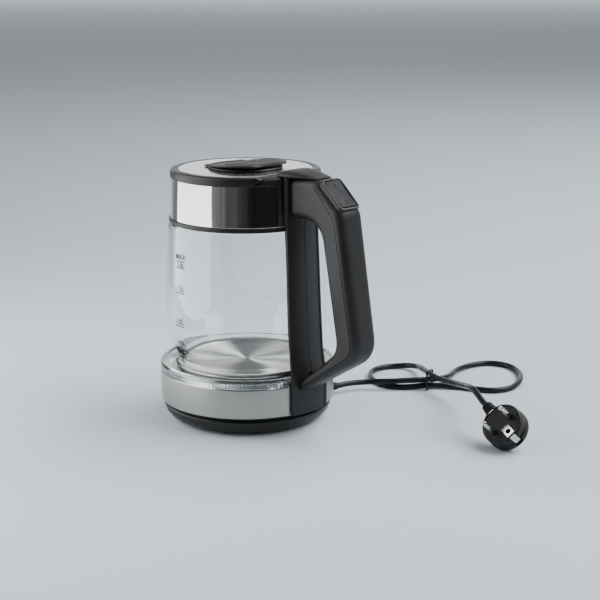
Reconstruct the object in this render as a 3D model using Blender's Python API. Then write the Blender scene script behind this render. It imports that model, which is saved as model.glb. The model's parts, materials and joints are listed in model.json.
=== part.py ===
"""Cordless electric kettle: glass jug with steel bands, hinged lid, D handle and a round power base.

Metres, +Z up. The origin is on the kettle's axis where the base stands; the handle points to +X.
"""

from math import cos, pi, radians, sin, sqrt, tan

import bmesh
import bpy
from mathutils import Matrix, Vector

MM = 0.001
GAP = 0.3            # clearance between two touching pieces
SIDES = 36           # facets round the kettle's axis
SMALL_SIDES = 14     # facets of a screw, pin or foot

# Power base
BASE_R = 77.5
BASE_TOP_Z = 16.0
BASE_WALL = 2.2
BASE_FLOOR_R = 61.0
PLATE_Z = 1.2
PLATE_THICKNESS = 2.0
FOOT_R = 5.5
FOOT_CIRCLE_R = 50.0
HUB_R = 15.0
HUB_TOP_Z = 24.0
CONTACT_SLOT_R = 9.0
CONTACT_SLOT_WIDTH = 2.0

# Kettle body, from the bottom up
BODY_R = 80.3
SKIRT_Z = BASE_TOP_Z + GAP
LOWER_BAND_Z = 19.3
LOWER_BAND_TOP_Z = 45.6
BAND_WALL = 0.9
LIGHT_RING_TOP_Z = 53.9
HEATING_PLATE_R = 64.0
HEATING_PLATE_Z = 51.4
HEATING_PLATE_THICKNESS = 2.0
GLASS_WALL = 3.0
GLASS_FOOT_R = 64.3
GLASS_FOOT_Z = 55.2
GLASS_BELLY_R = 74.1
GLASS_BELLY_Z = 88.0
GLASS_SHOULDER_R = 70.6
GLASS_NECK_R = 66.2
GLASS_TOP_Z = 192.0
NECK_RING_R = 69.8
NECK_RING_Z = 183.6
NECK_RING_TOP_Z = 187.6
UPPER_BAND_R = 68.5
UPPER_BAND_TOP_R = 66.5
UPPER_BAND_TOP_Z = 223.3
LINER_R = 64.9
LINER_WALL = 2.6

# Lid
LID_R = 68.0
LID_Z = UPPER_BAND_TOP_Z + GAP
LID_TOP_Z = 231.2
LID_DISC_R = 60.5
LID_CHORD_X = 50.5
LID_PLUG_R = 60.4
LID_PLUG_Z = 212.0
LID_OPEN_X = 54.0
HINGE_DROP = 3.0
KNUCKLE_R = 3.0
LID_SWING_R = KNUCKLE_R + 1.2
HINGE_PIN_R = 1.2
KNUCKLE_Y = 9.0
KNUCKLE_LENGTH = 8.0
LUG_LENGTH = 5.0
KNOB_R = 34.0
KNOB_TOP_Z = 234.2
GRIP_TOP_Z = 238.2
GRIP_PIVOT_X = 27.0
GRIP_FRONT_X = -17.0
LATCH_WIDTH = 9.0
LATCH_HEIGHT = 3.2

# Handle: outlines in the plane through the kettle's axis, as corners (x, z, fillet radius)
HANDLE_OUTER = [(60, 231.2, 0), (101.5, 231.2, 9), (129.5, 206.5, 10), (150.5, 82, 21), (73, 34.8, 0)]
HANDLE_PARTING = [(93, 246, 0), (96.5, 228, 8), (121.5, 200.5, 10), (143.5, 86.5, 17), (73, 37.6, 0)]
HANDLE_INNER = [(60, 194, 0), (103, 196, 15), (123.5, 85.5, 12), (73, 43.0, 0)]
HANDLE_WIDTH = 30.0
HANDLE_WALL = 2.4
HANDLE_EDGE_R = 6.5
SPINE_WIDTH = 41.0
SPINE_OUTER = [(84.2, 19.6), (84.2, 47), (80.3, 74), (78.3, 110), (76.6, 150), (74.8, 185), (73.6, 231.0)]
SPINE_INNER = [(69.0, 231.0), (69.0, 190.5), (70.3, 187.9), (70.3, 183), (72.6, 154), (74.8, 100),
               (75.2, 54.3),
               (80.8, 54.3), (80.8, 19.6)]
CAP_FRONT_X = LID_OPEN_X + KNUCKLE_R + GAP
CAP_SECTIONS = [(CAP_FRONT_X, 20.0, 235.6), (64, 20.2, 236.6), (76, 18.6, 236.4), (88, 16.4, 235.2),
                (98, 14.6, 233.2)]
SCREW_R = 1.5
SCREW_HEAD_R = 3.0
UPPER_SCREW_Z = 204.0
LOWER_SCREW_Z = 50.2

# Switch
ROCKER_TOP = (105.6, 229.6)
ROCKER_BOTTOM = (126.6, 210.0)
ROCKER_WIDTH = 19.0
ROCKER_CLEARANCE = 0.9
ROCKER_THICKNESS = 3.4
BEZEL_RIM = 1.8
STUB_R = 1.2

# Mains lead
CORD_D = 5.6
CORD_EXIT_ANGLE = radians(77.0)
CORD_EXIT_Z = 9.2
RELIEF_LENGTH = 24.0
PLUG_FACE = (234.0, 78.0, 25.0)
PLUG_PINS_TOWARD = (0.02, -0.82, 0.62)
PLUG_CORD_TOWARD = (-0.87, 0.25, 0.38)
PLUG_R = 18.6
PLUG_DEPTH = 21.0
PLUG_NECK_LENGTH = 32.0
PIN_R = 2.4
PIN_LENGTH = 19.0
PIN_SPACING = 19.0
CORD_ROUTE = [
    (25.5, 110, 8.2), (30, 122, 7.8), (37.5, 131.5, 8.0), (47, 139, 8.9), (57, 148, 9.4), (67.5, 160, 9.8),
    (77.5, 173, 9.9), (82, 190, 8.6), (77, 208, 6.4), (68, 227, 4.4), (63, 246, 3.2), (64, 264, 2.9),
    (71, 279, 2.9), (86, 286, 2.9), (103, 282, 2.9), (121, 267, 2.9), (134, 246, 2.9), (139, 224, 2.9),
    (132, 207, 2.9), (116, 198, 2.9), (99, 191, 3.1), (78.5, 174, 4.0), (69, 162, 3.3), (58, 151, 2.9),
    (43, 146, 2.9), (26, 150, 2.9), (11, 162, 2.9), (3, 176, 2.9), (2.5, 191, 2.9), (8.5, 203, 3.0),
    (21, 210.5, 4.5), (37, 206.5, 7.5), (56, 190, 12.8), (78.5, 174, 15.8), (97, 165, 16.6),
    (113, 160, 18.2),
    (130, 152, 21.5), (148.6, 139, 26.5), (161, 126.5, 31.5), (172, 114.5, 36.0), (180, 107, 38.3),
    (187, 102.5, 38.4),
]
TIE_POINT = (78.2, 173.7, 9.9)
TIE_TURN = radians(-73.0)
CORD_POINTS = 78

COLOURS = {
    "black_plastic": ((0.018, 0.018, 0.019), 0.42, 0.0),
    "soft_black": ((0.035, 0.034, 0.035), 0.50, 0.0),
    "mirror_steel": ((0.75, 0.75, 0.75), 0.06, 1.0),
    "satin_steel": ((0.62, 0.62, 0.62), 0.32, 1.0),
    "glass": ((0.90, 0.95, 0.95), 0.03, 0.0),
    "clear_plastic": ((0.80, 0.84, 0.86), 0.12, 0.0),
    "rubber": ((0.02, 0.02, 0.02), 0.80, 0.0),
    "silicone": ((0.70, 0.70, 0.68), 0.55, 0.0),
    "brass": ((0.72, 0.52, 0.22), 0.30, 1.0),
    "cord_pvc": ((0.012, 0.012, 0.013), 0.38, 0.0),
    "board_green": ((0.03, 0.16, 0.07), 0.50, 0.0),
}


# ---------------------------------------------------------------- helpers

def material(name):
    """The named finish, made once."""
    if name in bpy.data.materials:
        return bpy.data.materials[name]
    colour, roughness, metallic = COLOURS[name]
    made = bpy.data.materials.new(name)
    made.use_nodes = True
    shader = made.node_tree.nodes["Principled BSDF"]
    shader.inputs["Base Color"].default_value = (*colour, 1.0)
    shader.inputs["Roughness"].default_value = roughness
    shader.inputs["Metallic"].default_value = metallic
    return made


def new_object(name, bm, finish):
    """Turns a bmesh in millimetres into an object in metres."""
    bmesh.ops.recalc_face_normals(bm, faces=bm.faces)
    bmesh.ops.scale(bm, vec=(MM, MM, MM), verts=bm.verts)
    mesh = bpy.data.meshes.new(name)
    bm.to_mesh(mesh)
    bm.free()
    mesh.shade_smooth()
    mesh.set_sharp_from_angle(angle=radians(35))
    mesh.materials.append(material(finish))
    obj = bpy.data.objects.new(name, mesh)
    bpy.context.scene.collection.objects.link(obj)
    return obj


def as_cutter(obj):
    obj.hide_render = True
    obj.display_type = "WIRE"
    return obj


def boolean(obj, tool, operation):
    step = obj.modifiers.new(operation.lower(), "BOOLEAN")
    step.operation = operation
    step.solver = "EXACT"
    step.object = as_cutter(tool)


def cut(obj, *tools):
    for tool in tools:
        boolean(obj, tool, "DIFFERENCE")
    return obj


def keep(obj, *tools):
    for tool in tools:
        boolean(obj, tool, "INTERSECT")
    return obj


def join(obj, *tools):
    for tool in tools:
        boolean(obj, tool, "UNION")
    return obj


def revolve(name, profile, finish, sides=SIDES, sweep=None):
    """Turns a closed (r, z) outline about Z. sweep=(from, to) in radians leaves a capped sector."""
    bm = bmesh.new()
    start, stop = sweep or (0.0, 2 * pi)
    count = sides if sweep is None else sides + 1
    rings = []
    for i in range(count):
        angle = start + (stop - start) * i / sides
        ring = []
        for j, (r, z) in enumerate(profile):
            if r == 0 and i > 0:
                ring.append(rings[0][j])
            else:
                ring.append(bm.verts.new((r * cos(angle), r * sin(angle), z)))
        rings.append(ring)
    pairs = list(zip(rings, rings[1:] + ([rings[0]] if sweep is None else [])))
    for ring, following in pairs:
        for j in range(len(profile)):
            k = (j + 1) % len(profile)
            corners = []
            for vert in (ring[j], following[j], following[k], ring[k]):
                if vert not in corners:
                    corners.append(vert)
            if len(corners) > 2:
                bm.faces.new(corners)
    if sweep is not None:
        bm.faces.new(rings[0])
        bm.faces.new(rings[-1])
    return new_object(name, bm, finish)


def prism(name, outline, y_from, y_to, finish, edge_radius=0.0, segments=3):
    """An (x, z) outline extruded along Y, with its long edges rounded."""
    bm = bmesh.new()
    near = [bm.verts.new((x, y_from, z)) for x, z in outline]
    face = bm.faces.new(near)
    grown = bmesh.ops.extrude_face_region(bm, geom=[face])
    moved = [item for item in grown["geom"] if isinstance(item, bmesh.types.BMVert)]
    bmesh.ops.translate(bm, verts=moved, vec=(0, y_to - y_from, 0))
    if edge_radius:
        long_edges = [e for e in bm.edges if abs(e.verts[0].co.y - e.verts[1].co.y) < 1e-6]
        bmesh.ops.bevel(bm, geom=long_edges, offset=edge_radius, segments=segments, profile=0.5,
                        affect="EDGES",
                        clamp_overlap=True)
    return new_object(name, bm, finish)


def box(name, low, high, finish):
    outline = [(low[0], low[2]), (high[0], low[2]), (high[0], high[2]), (low[0], high[2])]
    return prism(name, outline, low[1], high[1], finish)


def frame_along(direction):
    """A rotation that takes +Z to the direction."""
    return Vector((0, 0, 1)).rotation_difference(Vector(direction)).to_matrix().to_4x4()


def turned(name, profile, finish, start, direction, sides=SMALL_SIDES, flip=None):
    """A revolved outline set on any axis: z in the outline runs from start along direction."""
    obj = revolve(name, profile, finish, sides)
    place = Matrix.Translation(Vector(start) * MM) @ (flip or frame_along(direction))
    obj.data.transform(place)
    return obj


def rod(name, start, end, radius, finish, sides=SMALL_SIDES):
    length = (Vector(end) - Vector(start)).length
    profile = [(0, 0), (radius, 0), (radius, length), (0, length)]
    return turned(name, profile, finish, start, Vector(end) - Vector(start), sides)


def offset_corners(corners, distance):
    """The same corner list moved sideways to its left by distance, fillets kept concentric."""
    points = [Vector((x, z)) for x, z, _ in corners]
    normals = []
    for a, b in zip(points, points[1:]):
        run = (b - a).normalized()
        normals.append(Vector((-run.y, run.x)))
    moved = []
    for i, (x, z, radius) in enumerate(corners):
        before, after = normals[max(i - 1, 0)], normals[min(i, len(normals) - 1)]
        middle = (before + after).normalized()
        reach = distance / max(middle.dot(before), 0.2)
        turn = before.x * after.y - before.y * after.x
        side = 0 if radius == 0 else (1 if turn > 0 else -1)
        spot = points[i] + middle * reach
        moved.append((spot.x, spot.y, max(radius - distance * side, 0.5) if radius else 0))
    return moved


def rounded(corners, steps=5):
    """Points along a corner list with each fillet drawn as an arc."""
    out = []
    for i, (x, z, radius) in enumerate(corners):
        here = Vector((x, z))
        if radius == 0:
            out.append((x, z))
            continue
        back = (Vector(corners[i - 1][:2]) - here).normalized()
        ahead = (Vector(corners[i + 1][:2]) - here).normalized()
        half = back.angle(ahead) / 2
        run = radius / tan(half)
        centre = here + (back + ahead).normalized() * (radius / sin(half))
        first, last = here + back * run - centre, here + ahead * run - centre
        sweep = first.angle_signed(last)
        for step in range(steps + 1):
            turned_by = Matrix.Rotation(-sweep * step / steps, 2)
            spot = centre + turned_by @ first
            out.append((spot.x, spot.y))
    return out


def smooth_route(route, count):
    """Evenly spaced points on a Catmull-Rom curve through the route."""
    points = [Vector(p) for p in route]
    points = [points[0] * 2 - points[1]] + points + [points[-1] * 2 - points[-2]]
    dense = []
    for p0, p1, p2, p3 in zip(points, points[1:], points[2:], points[3:]):
        for step in range(24):
            t = step / 24
            dense.append(0.5 * (2 * p1 + (p2 - p0) * t + (2 * p0 - 5 * p1 + 4 * p2 - p3) * t * t
                                + (3 * p1 - p0 - 3 * p2 + p3) * t ** 3))
    dense.append(points[-2])
    lengths = [0.0]
    for a, b in zip(dense, dense[1:]):
        lengths.append(lengths[-1] + (b - a).length)
    out, at = [], 0
    for i in range(count):
        want = lengths[-1] * i / (count - 1)
        while at < len(dense) - 2 and lengths[at + 1] < want:
            at += 1
        share = (want - lengths[at]) / (lengths[at + 1] - lengths[at])
        out.append(dense[at].lerp(dense[at + 1], share))
    return out


def wire(name, points, diameter, finish, resolution=2):
    """A round wire along points, with filled ends."""
    curve = bpy.data.curves.new(name, "CURVE")
    curve.dimensions = "3D"
    curve.bevel_depth = diameter / 2 * MM
    curve.bevel_resolution = resolution
    curve.use_fill_caps = True
    spline = curve.splines.new("POLY")
    spline.points.add(len(points) - 1)
    for spot, point in zip(spline.points, points):
        spot.co = (*(Vector(point) * MM), 1.0)
    curve.materials.append(material(finish))
    obj = bpy.data.objects.new(name, curve)
    bpy.context.scene.collection.objects.link(obj)
    return obj


def around(angle, radius, z):
    return (radius * cos(angle), radius * sin(angle), z)


def radial(angle):
    return Vector((cos(angle), sin(angle), 0))


# ---------------------------------------------------------------- power base

def relief_hole_radius():
    return CORD_D / 2 + 1.9


def base_top_cover():
    inner_r = BASE_R - BASE_WALL
    profile = [
        (HUB_R + GAP, BASE_TOP_Z), (BASE_R - 1.5, BASE_TOP_Z), (BASE_R, BASE_TOP_Z - 1.5),
        (BASE_R - 0.6, 10.5),
        (BASE_R - 4.5, 5.2), (BASE_R - 10.0, 2.0), (BASE_FLOOR_R + GAP, PLATE_Z),
        (BASE_FLOOR_R + GAP, PLATE_Z + PLATE_THICKNESS), (BASE_R - 9.0, 4.8), (inner_r - 3.2, 8.0),
        (inner_r, BASE_TOP_Z - BASE_WALL), (HUB_R + GAP, BASE_TOP_Z - BASE_WALL),
    ]
    cover = revolve("base_top_cover", profile, "black_plastic")
    way = rod("relief_way", around(CORD_EXIT_ANGLE, BASE_R - 12, CORD_EXIT_Z),
              around(CORD_EXIT_ANGLE, BASE_R + 8, CORD_EXIT_Z), relief_hole_radius() + GAP, "black_plastic")
    return cut(cover, way)


def base_bottom_plate():
    top = PLATE_Z + PLATE_THICKNESS
    plate = revolve("base_bottom_plate", [(0, PLATE_Z), (BASE_FLOOR_R, PLATE_Z), (BASE_FLOOR_R, top),
                                          (0, top)],
                    "black_plastic", 24)
    for i, angle in enumerate(foot_angles()):
        x, y, _ = around(angle, FOOT_CIRCLE_R, 0)
        cut(plate, rod(f"foot_recess_{i + 1}", (x, y, PLATE_Z - 1), (x, y, PLATE_Z + 0.9), FOOT_R + GAP,
                       "rubber"))
    for i, angle in enumerate(base_screw_angles()):
        x, y, _ = around(angle, FOOT_CIRCLE_R, 0)
        cut(plate, rod(f"screw_way_{i + 1}", (x, y, 0), (x, y, top + 1), SCREW_R + GAP, "satin_steel"))
        cut(plate, rod(f"screw_seat_{i + 1}", (x, y, 0), (x, y, PLATE_Z + 1.3), SCREW_HEAD_R + GAP,
                       "satin_steel"))
    return plate


def foot_angles():
    return [radians(30 + 120 * i) for i in range(3)]


def base_screw_angles():
    return [radians(-30), radians(90)]


def base_feet():
    for i, angle in enumerate(foot_angles()):
        x, y, _ = around(angle, FOOT_CIRCLE_R, 0)
        profile = [(0, 0), (FOOT_R - 0.6, 0), (FOOT_R, 0.6), (FOOT_R, PLATE_Z + 0.6), (0, PLATE_Z + 0.6)]
        turned(f"base_foot_{i + 1}", profile, "rubber", (x, y, 0), (0, 0, 1))


def base_screws():
    for i, angle in enumerate(base_screw_angles()):
        x, y, _ = around(angle, FOOT_CIRCLE_R, 0)
        top = BASE_TOP_Z - BASE_WALL - GAP
        profile = [(0, 0), (SCREW_HEAD_R, 0), (SCREW_HEAD_R, 0.9), (SCREW_R, 0.9),
                   (SCREW_R, top - PLATE_Z - 0.1),
                   (0, top - PLATE_Z - 0.1)]
        turned(f"base_screw_{i + 1}", profile, "satin_steel", (x, y, PLATE_Z + 0.1), (0, 0, 1))


def base_socket():
    """The raised hub that the kettle sits over, open in the middle and in one ring slot."""
    bottom = PLATE_Z + PLATE_THICKNESS + GAP
    slot_in = CONTACT_SLOT_R - CONTACT_SLOT_WIDTH / 2
    slot_out = CONTACT_SLOT_R + CONTACT_SLOT_WIDTH / 2
    profile = [
        (2.9, HUB_TOP_Z - 0.8), (3.7, HUB_TOP_Z), (slot_in - 0.5, HUB_TOP_Z), (slot_in, HUB_TOP_Z - 0.5),
        (slot_in, 13.5), (slot_out, 13.5), (slot_out, HUB_TOP_Z - 0.5), (slot_out + 0.5, HUB_TOP_Z),
        (HUB_R - 1.2, HUB_TOP_Z), (HUB_R, HUB_TOP_Z - 1.2), (HUB_R, bottom), (HUB_R - 2.0, bottom),
        (HUB_R - 2.0, 11.0), (2.9, 11.0),
    ]
    return revolve("base_socket", profile, "black_plastic", 32)


def socket_contacts():
    """Two leaf springs under the hub, one for the pin and one for the ring."""
    for i, x in enumerate((-6.0, 2.0)):
        outline = [(x - 1.6, 4.2), (x + 1.6, 4.2), (x + 1.6, 9.6), (x + 0.9, 9.6), (x + 0.9, 5.0),
                   (x - 1.6, 5.0)]
        prism(f"socket_contact_{i + 1}", outline, -4.0, 4.0, "brass")


def strain_relief():
    hole = relief_hole_radius()
    inner = CORD_D / 2 + GAP
    start = around(CORD_EXIT_ANGLE, BASE_R - 9.0, CORD_EXIT_Z)
    length = 9.0 + RELIEF_LENGTH
    collar = 10.2
    outline = [(inner, 0), (hole, 0), (hole, collar)]
    ribs, tip = 4, inner + 0.7
    for i in range(ribs):
        low = collar + (length - collar) * i / ribs
        high = collar + (length - collar) * (i + 1) / ribs
        outer = hole + (tip - hole) * i / ribs
        following = hole + (tip - hole) * (i + 0.8) / ribs
        outline += [(outer, low + 0.1), (following, high - 1.6), (following - 0.5, high - 1.2),
                    (following - 0.5, high - 0.3)]
    outline += [(tip - 0.3, length), (inner, length)]
    direction = relief_direction()
    return turned("strain_relief", outline, "cord_pvc", start, direction, 12)


def relief_direction():
    """Radially outward, dipping a little towards the table."""
    return (radial(CORD_EXIT_ANGLE) + Vector((0, 0, -0.035))).normalized()


# ---------------------------------------------------------------- mains lead

def cord_start():
    begin = Vector(around(CORD_EXIT_ANGLE, BASE_R - 9.0, CORD_EXIT_Z))
    return begin + relief_direction() * 1.0


def plug_axes():
    toward = Vector(PLUG_PINS_TOWARD).normalized()
    cordward = Vector(PLUG_CORD_TOWARD)
    cordward = (cordward - toward * cordward.dot(toward)).normalized()
    return toward, cordward, cordward.cross(toward)


def plug_point(along_pins, along_cord, across):
    toward, cordward, side = plug_axes()
    return Vector(PLUG_FACE) + toward * along_pins + cordward * along_cord + side * across


def power_cord():
    into_neck = [plug_point(-10.5, PLUG_NECK_LENGTH + reach, 0) for reach in (7.0, 1.0, -7.0)]
    leave = cord_start() + relief_direction() * (RELIEF_LENGTH + 8.5)
    middle = cord_start() + relief_direction() * 14.0
    route = [cord_start(), middle, leave] + CORD_ROUTE + into_neck
    return wire("power_cord", smooth_route(route, CORD_POINTS), CORD_D, "cord_pvc")


def cord_tie():
    """An upright plastic band round the three strands where they cross."""
    wide, wall, width, reach = CORD_D / 2 + 4.2, 0.6, 2.0, 5.9 + CORD_D / 2 + 0.4
    low, high = TIE_POINT[2] - reach - wall, TIE_POINT[2] + reach + wall
    outer = [(-wide - wall, low, 2), (wide + wall, low, 2), (wide + wall, high, 2), (-wide - wall, high, 2)]
    inner = [(-wide, low + wall, 1.6), (wide, low + wall, 1.6), (wide, high - wall, 1.6),
             (-wide, high - wall, 1.6)]
    band = prism("cord_tie", closed_round(outer), -width / 2, width / 2, "cord_pvc")
    cut(band, prism("cord_tie_hole", closed_round(inner), -width, width, "cord_pvc"))
    place = Matrix.Translation(Vector((TIE_POINT[0], TIE_POINT[1], 0)) * MM) @ Matrix.Rotation(TIE_TURN, 4,
                                                                                               "Z")
    for piece in (band, bpy.data.objects["cord_tie_hole"]):
        piece.data.transform(place)
    return band


def closed_round(corners):
    """A closed outline with every corner filleted."""
    ring = [corners[-1]] + corners + [corners[0]]
    first = (ring[0][0], ring[0][1], 0)
    last = (ring[-1][0], ring[-1][1], 0)
    return rounded([first] + corners + [last], 3)[1:-1]


def plug_matrix():
    toward, cordward, side = plug_axes()
    return Matrix((side, cordward, toward)).transposed().to_4x4()


def plug_body():
    """A side-entry plug: round face, stepped rear body and a short neck for the cord."""
    profile = [
        (0, 0), (PLUG_R - 1.2, 0), (PLUG_R, -1.2), (PLUG_R, -6.0), (PLUG_R - 1.0, -7.0),
        (PLUG_R - 1.0, -8.6),
        (PLUG_R + 0.4, -9.8), (PLUG_R + 0.4, -15.0), (PLUG_R - 4.0, -PLUG_DEPTH), (0, -PLUG_DEPTH),
    ]
    body = turned("plug_body", profile, "cord_pvc", PLUG_FACE, None, 28, plug_matrix())
    neck_inner = CORD_D / 2 + GAP
    start = plug_point(-10.5, PLUG_R - 6, 0)
    neck = [(0, 0), (7.4, 0), (6.6, 8.0), (5.2, 9.2), (5.2, 11.0), (5.9, 11.6), (5.4, 14.2), (4.6, 14.8),
            (4.6, 16.2),
            (5.0, 16.8), (4.2, PLUG_NECK_LENGTH - PLUG_R + 6), (0, PLUG_NECK_LENGTH - PLUG_R + 6)]
    join(body, turned("plug_neck", neck, "cord_pvc", start, plug_axes()[1], 16))
    cut(body, rod("plug_cord_way", plug_point(-10.5, PLUG_NECK_LENGTH - 8, 0),
                  plug_point(-10.5, PLUG_NECK_LENGTH + 5, 0),
                  neck_inner, "cord_pvc", 16))
    for i, side in enumerate((-1, 1)):
        across = side * PIN_SPACING / 2
        cut(body, rod(f"pin_way_{i + 1}", plug_point(-6, 0, across), plug_point(4, 0, across), PIN_R + GAP,
                      "brass"))
        low = plug_point(-12, side * (PLUG_R - 1.4), 0)
        cut(body, plug_box(f"clip_way_{i + 1}", low, (7.0, 3.6, 26.0)))
    return body


def plug_box(name, centre, size, finish="brass"):
    """A box in the plug's own directions: across, along the cord, along the pins."""
    half = [s / 2 for s in size]
    block = box(name, (-half[0], -half[1], -half[2]), half, finish)
    block.data.transform(Matrix.Translation(Vector(centre) * MM) @ plug_matrix())
    return block


def plug_pins():
    for i, side in enumerate((-1, 1)):
        across = side * PIN_SPACING / 2
        profile = [(0, 0), (PIN_R, 0), (PIN_R, 5.7 + PIN_LENGTH - 1.6), (PIN_R - 1.3, 5.7 + PIN_LENGTH),
                   (0, 5.7 + PIN_LENGTH)]
        turned(f"plug_pin_{i + 1}", profile, "satin_steel", plug_point(-5.7, 0, across), plug_axes()[0], 14)


def plug_earth_clips():
    for i, side in enumerate((-1, 1)):
        spot = plug_point(-8.0, side * (PLUG_R - 2.2), 0)
        plug_box(f"plug_earth_clip_{i + 1}", spot, (5.6, 1.0, 15.0), "satin_steel")


# ---------------------------------------------------------------- kettle's underside

def connector_pin():
    return turned("connector_pin", [(0, 0), (1.4, 0), (2.2, 1.2), (2.2, 22.0), (0, 22.0)], "brass",
                  (0, 0, 12.0),
                  (0, 0, 1), 16)


def connector_ring():
    half = 0.45
    ring = [(CONTACT_SLOT_R - half, 15.0), (CONTACT_SLOT_R + half, 15.0), (CONTACT_SLOT_R + half, 25.2),
            (CONTACT_SLOT_R - half, 25.2)]
    return revolve("connector_ring", ring, "brass", 32)


def connector_housing():
    """The cup under the kettle that drops over the base's hub."""
    inner = HUB_R + 0.8
    profile = [
        (2.6, 25.6), (inner, 25.6), (inner, SKIRT_Z + 1.2), (inner + 0.8, SKIRT_Z + 0.4),
        (inner + 2.4, SKIRT_Z + 0.4),
        (inner + 2.4, 30.5), (2.6, 30.5),
    ]
    return revolve("connector_housing", profile, "black_plastic", 32)


def kettle_bottom_cover():
    housing = HUB_R + 0.8 + 2.4 + GAP
    profile = [
        (housing, 20.0), (72.0, 20.0), (74.0, SKIRT_Z), (BASE_R - 1.0, SKIRT_Z),
        (BASE_R + 0.5, LOWER_BAND_Z - 0.9),
        (BASE_R + 0.5, LOWER_BAND_Z - GAP), (BODY_R - BAND_WALL - GAP, LOWER_BAND_Z + 0.4),
        (BODY_R - BAND_WALL - GAP, 43.0), (76.9, 43.0), (76.9, 22.2), (housing, 22.2),
    ]
    return revolve("kettle_bottom_cover", profile, "black_plastic")


def lower_band():
    inner = BODY_R - BAND_WALL
    profile = [(inner, LOWER_BAND_Z), (BODY_R - 0.4, LOWER_BAND_Z), (BODY_R, LOWER_BAND_Z + 0.5),
               (BODY_R, LOWER_BAND_TOP_Z - 0.5), (BODY_R - 0.4, LOWER_BAND_TOP_Z),
               (inner, LOWER_BAND_TOP_Z)]
    return revolve("lower_band", profile, "satin_steel")


def light_ring():
    inner = HEATING_PLATE_R + 2.0
    bottom = LOWER_BAND_TOP_Z + GAP
    profile = [(inner, bottom), (BODY_R - 0.5, bottom), (BODY_R, bottom + 0.6),
               (BODY_R, LIGHT_RING_TOP_Z - 1.2),
               (BODY_R - 1.2, LIGHT_RING_TOP_Z), (inner, LIGHT_RING_TOP_Z)]
    return revolve("light_ring", profile, "clear_plastic")


def led_board():
    profile = [(67.0, 43.6), (76.0, 43.6), (76.0, 45.2), (67.0, 45.2)]
    return revolve("led_board", profile, "board_green")


def heating_plate():
    top = HEATING_PLATE_Z + HEATING_PLATE_THICKNESS
    profile = [(0, HEATING_PLATE_Z), (HEATING_PLATE_R, HEATING_PLATE_Z), (HEATING_PLATE_R, top), (0, top)]
    return revolve("heating_plate", profile, "satin_steel")


def heating_element():
    """A sheathed element bent into most of a circle below the plate."""
    z = HEATING_PLATE_Z - GAP - 3.4
    turn = [around(radians(30 + 300 * i / 30), 42.0, z) for i in range(31)]
    first, last = Vector(turn[0]), Vector(turn[-1])
    points = [first + Vector((0.5, -1.5, -9))] + [tuple(p) for p in turn] + [last + Vector((0.5, 1.5, -9))]
    return wire("heating_element", points, 6.2, "satin_steel", 2)


def controller():
    """The control block: contacts, dry-boil cut-out and its clip, in one moulding over the connector."""
    block = box("dry_boil_controller", (-24, -17, 31.0), (20, 17, 43.5), "black_plastic")
    cut(block, rod("controller_pin_way", (0, 0, 30), (0, 0, 36), 2.8, "black_plastic"))
    return block


def dry_boil_disc():
    return turned("dry_boil_disc", [(0, 0), (6.5, 0), (6.5, 0.8), (0, 0.8)], "brass", (-10, 0, 44.0),
                  (0, 0, 1))


def plate_seal():
    outer = GLASS_FOOT_R - 0.4
    low = HEATING_PLATE_Z + HEATING_PLATE_THICKNESS + GAP
    profile = [(outer - 3.4, low), (outer, low), (outer, GLASS_FOOT_Z - GAP),
               (outer - 3.4, GLASS_FOOT_Z - GAP)]
    return revolve("plate_seal", profile, "silicone")


# ---------------------------------------------------------------- jug and collar

def glass_outline():
    return [
        (GLASS_FOOT_R - 0.4, GLASS_FOOT_Z), (GLASS_FOOT_R, 62.0), (67.5, 69.2), (72.0, 78.5),
        (GLASS_BELLY_R, GLASS_BELLY_Z),
        (73.6, 98.0), (72.9, 122.0), (71.8, 154.0), (GLASS_SHOULDER_R, 175.0), (70.2, 180.4),
        (GLASS_NECK_R + 2.0, 183.0),
        (GLASS_NECK_R, 184.4), (GLASS_NECK_R, GLASS_TOP_Z),
    ]


def glass_jug():
    outer = glass_outline()
    inner = [(r - GLASS_WALL, z) for r, z in outer]
    inner[-3] = (GLASS_NECK_R - GLASS_WALL, inner[-3][1] - 0.5)
    return revolve("glass_jug", outer + inner[::-1], "glass")


def neck_ring():
    inner = GLASS_NECK_R + 0.5
    profile = [(inner, NECK_RING_TOP_Z), (inner, NECK_RING_Z + 1.4), (GLASS_NECK_R + 2.6, NECK_RING_Z),
               (NECK_RING_R - 0.5, NECK_RING_Z), (NECK_RING_R, NECK_RING_Z + 0.6),
               (NECK_RING_R, NECK_RING_TOP_Z - 0.6),
               (NECK_RING_R - 0.6, NECK_RING_TOP_Z)]
    return revolve("neck_ring", profile, "black_plastic")


def upper_band():
    low = NECK_RING_TOP_Z + GAP
    wall = BAND_WALL
    profile = [(UPPER_BAND_R - wall, low), (UPPER_BAND_R, low), (UPPER_BAND_TOP_R, UPPER_BAND_TOP_Z),
               (UPPER_BAND_TOP_R - wall, UPPER_BAND_TOP_Z)]
    band = revolve("upper_band", profile, "mirror_steel")
    cut(band, spout_window("band_window", 0.0), steam_way("band_steam_way"))
    return band


def upper_seal():
    low, high = GLASS_TOP_Z + GAP, GLASS_TOP_Z + 2.2
    inner = GLASS_NECK_R - GLASS_WALL
    profile = [(inner, low), (GLASS_NECK_R - 0.4, low), (GLASS_NECK_R - 0.4, high), (inner, high)]
    return revolve("upper_seal", profile, "silicone")


def neck_liner():
    low, high = GLASS_TOP_Z + 2.5, UPPER_BAND_TOP_Z - 0.3
    inner = LINER_R - LINER_WALL
    liner = revolve("neck_liner", [(inner, low), (LINER_R, low), (LINER_R, high), (inner, high)],
                    "black_plastic")
    cut(liner, spout_window("liner_window", -1.2), steam_way("liner_steam_way"))
    width = LATCH_WIDTH / 2 + 0.5
    low_z = latch_z() - LATCH_HEIGHT / 2 - 0.5
    cut(liner, box("latch_catch", (-LINER_R + 0.8, -width, low_z), (-LINER_R + 8, width, high + 2),
                   "black_plastic"))
    return liner


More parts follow.
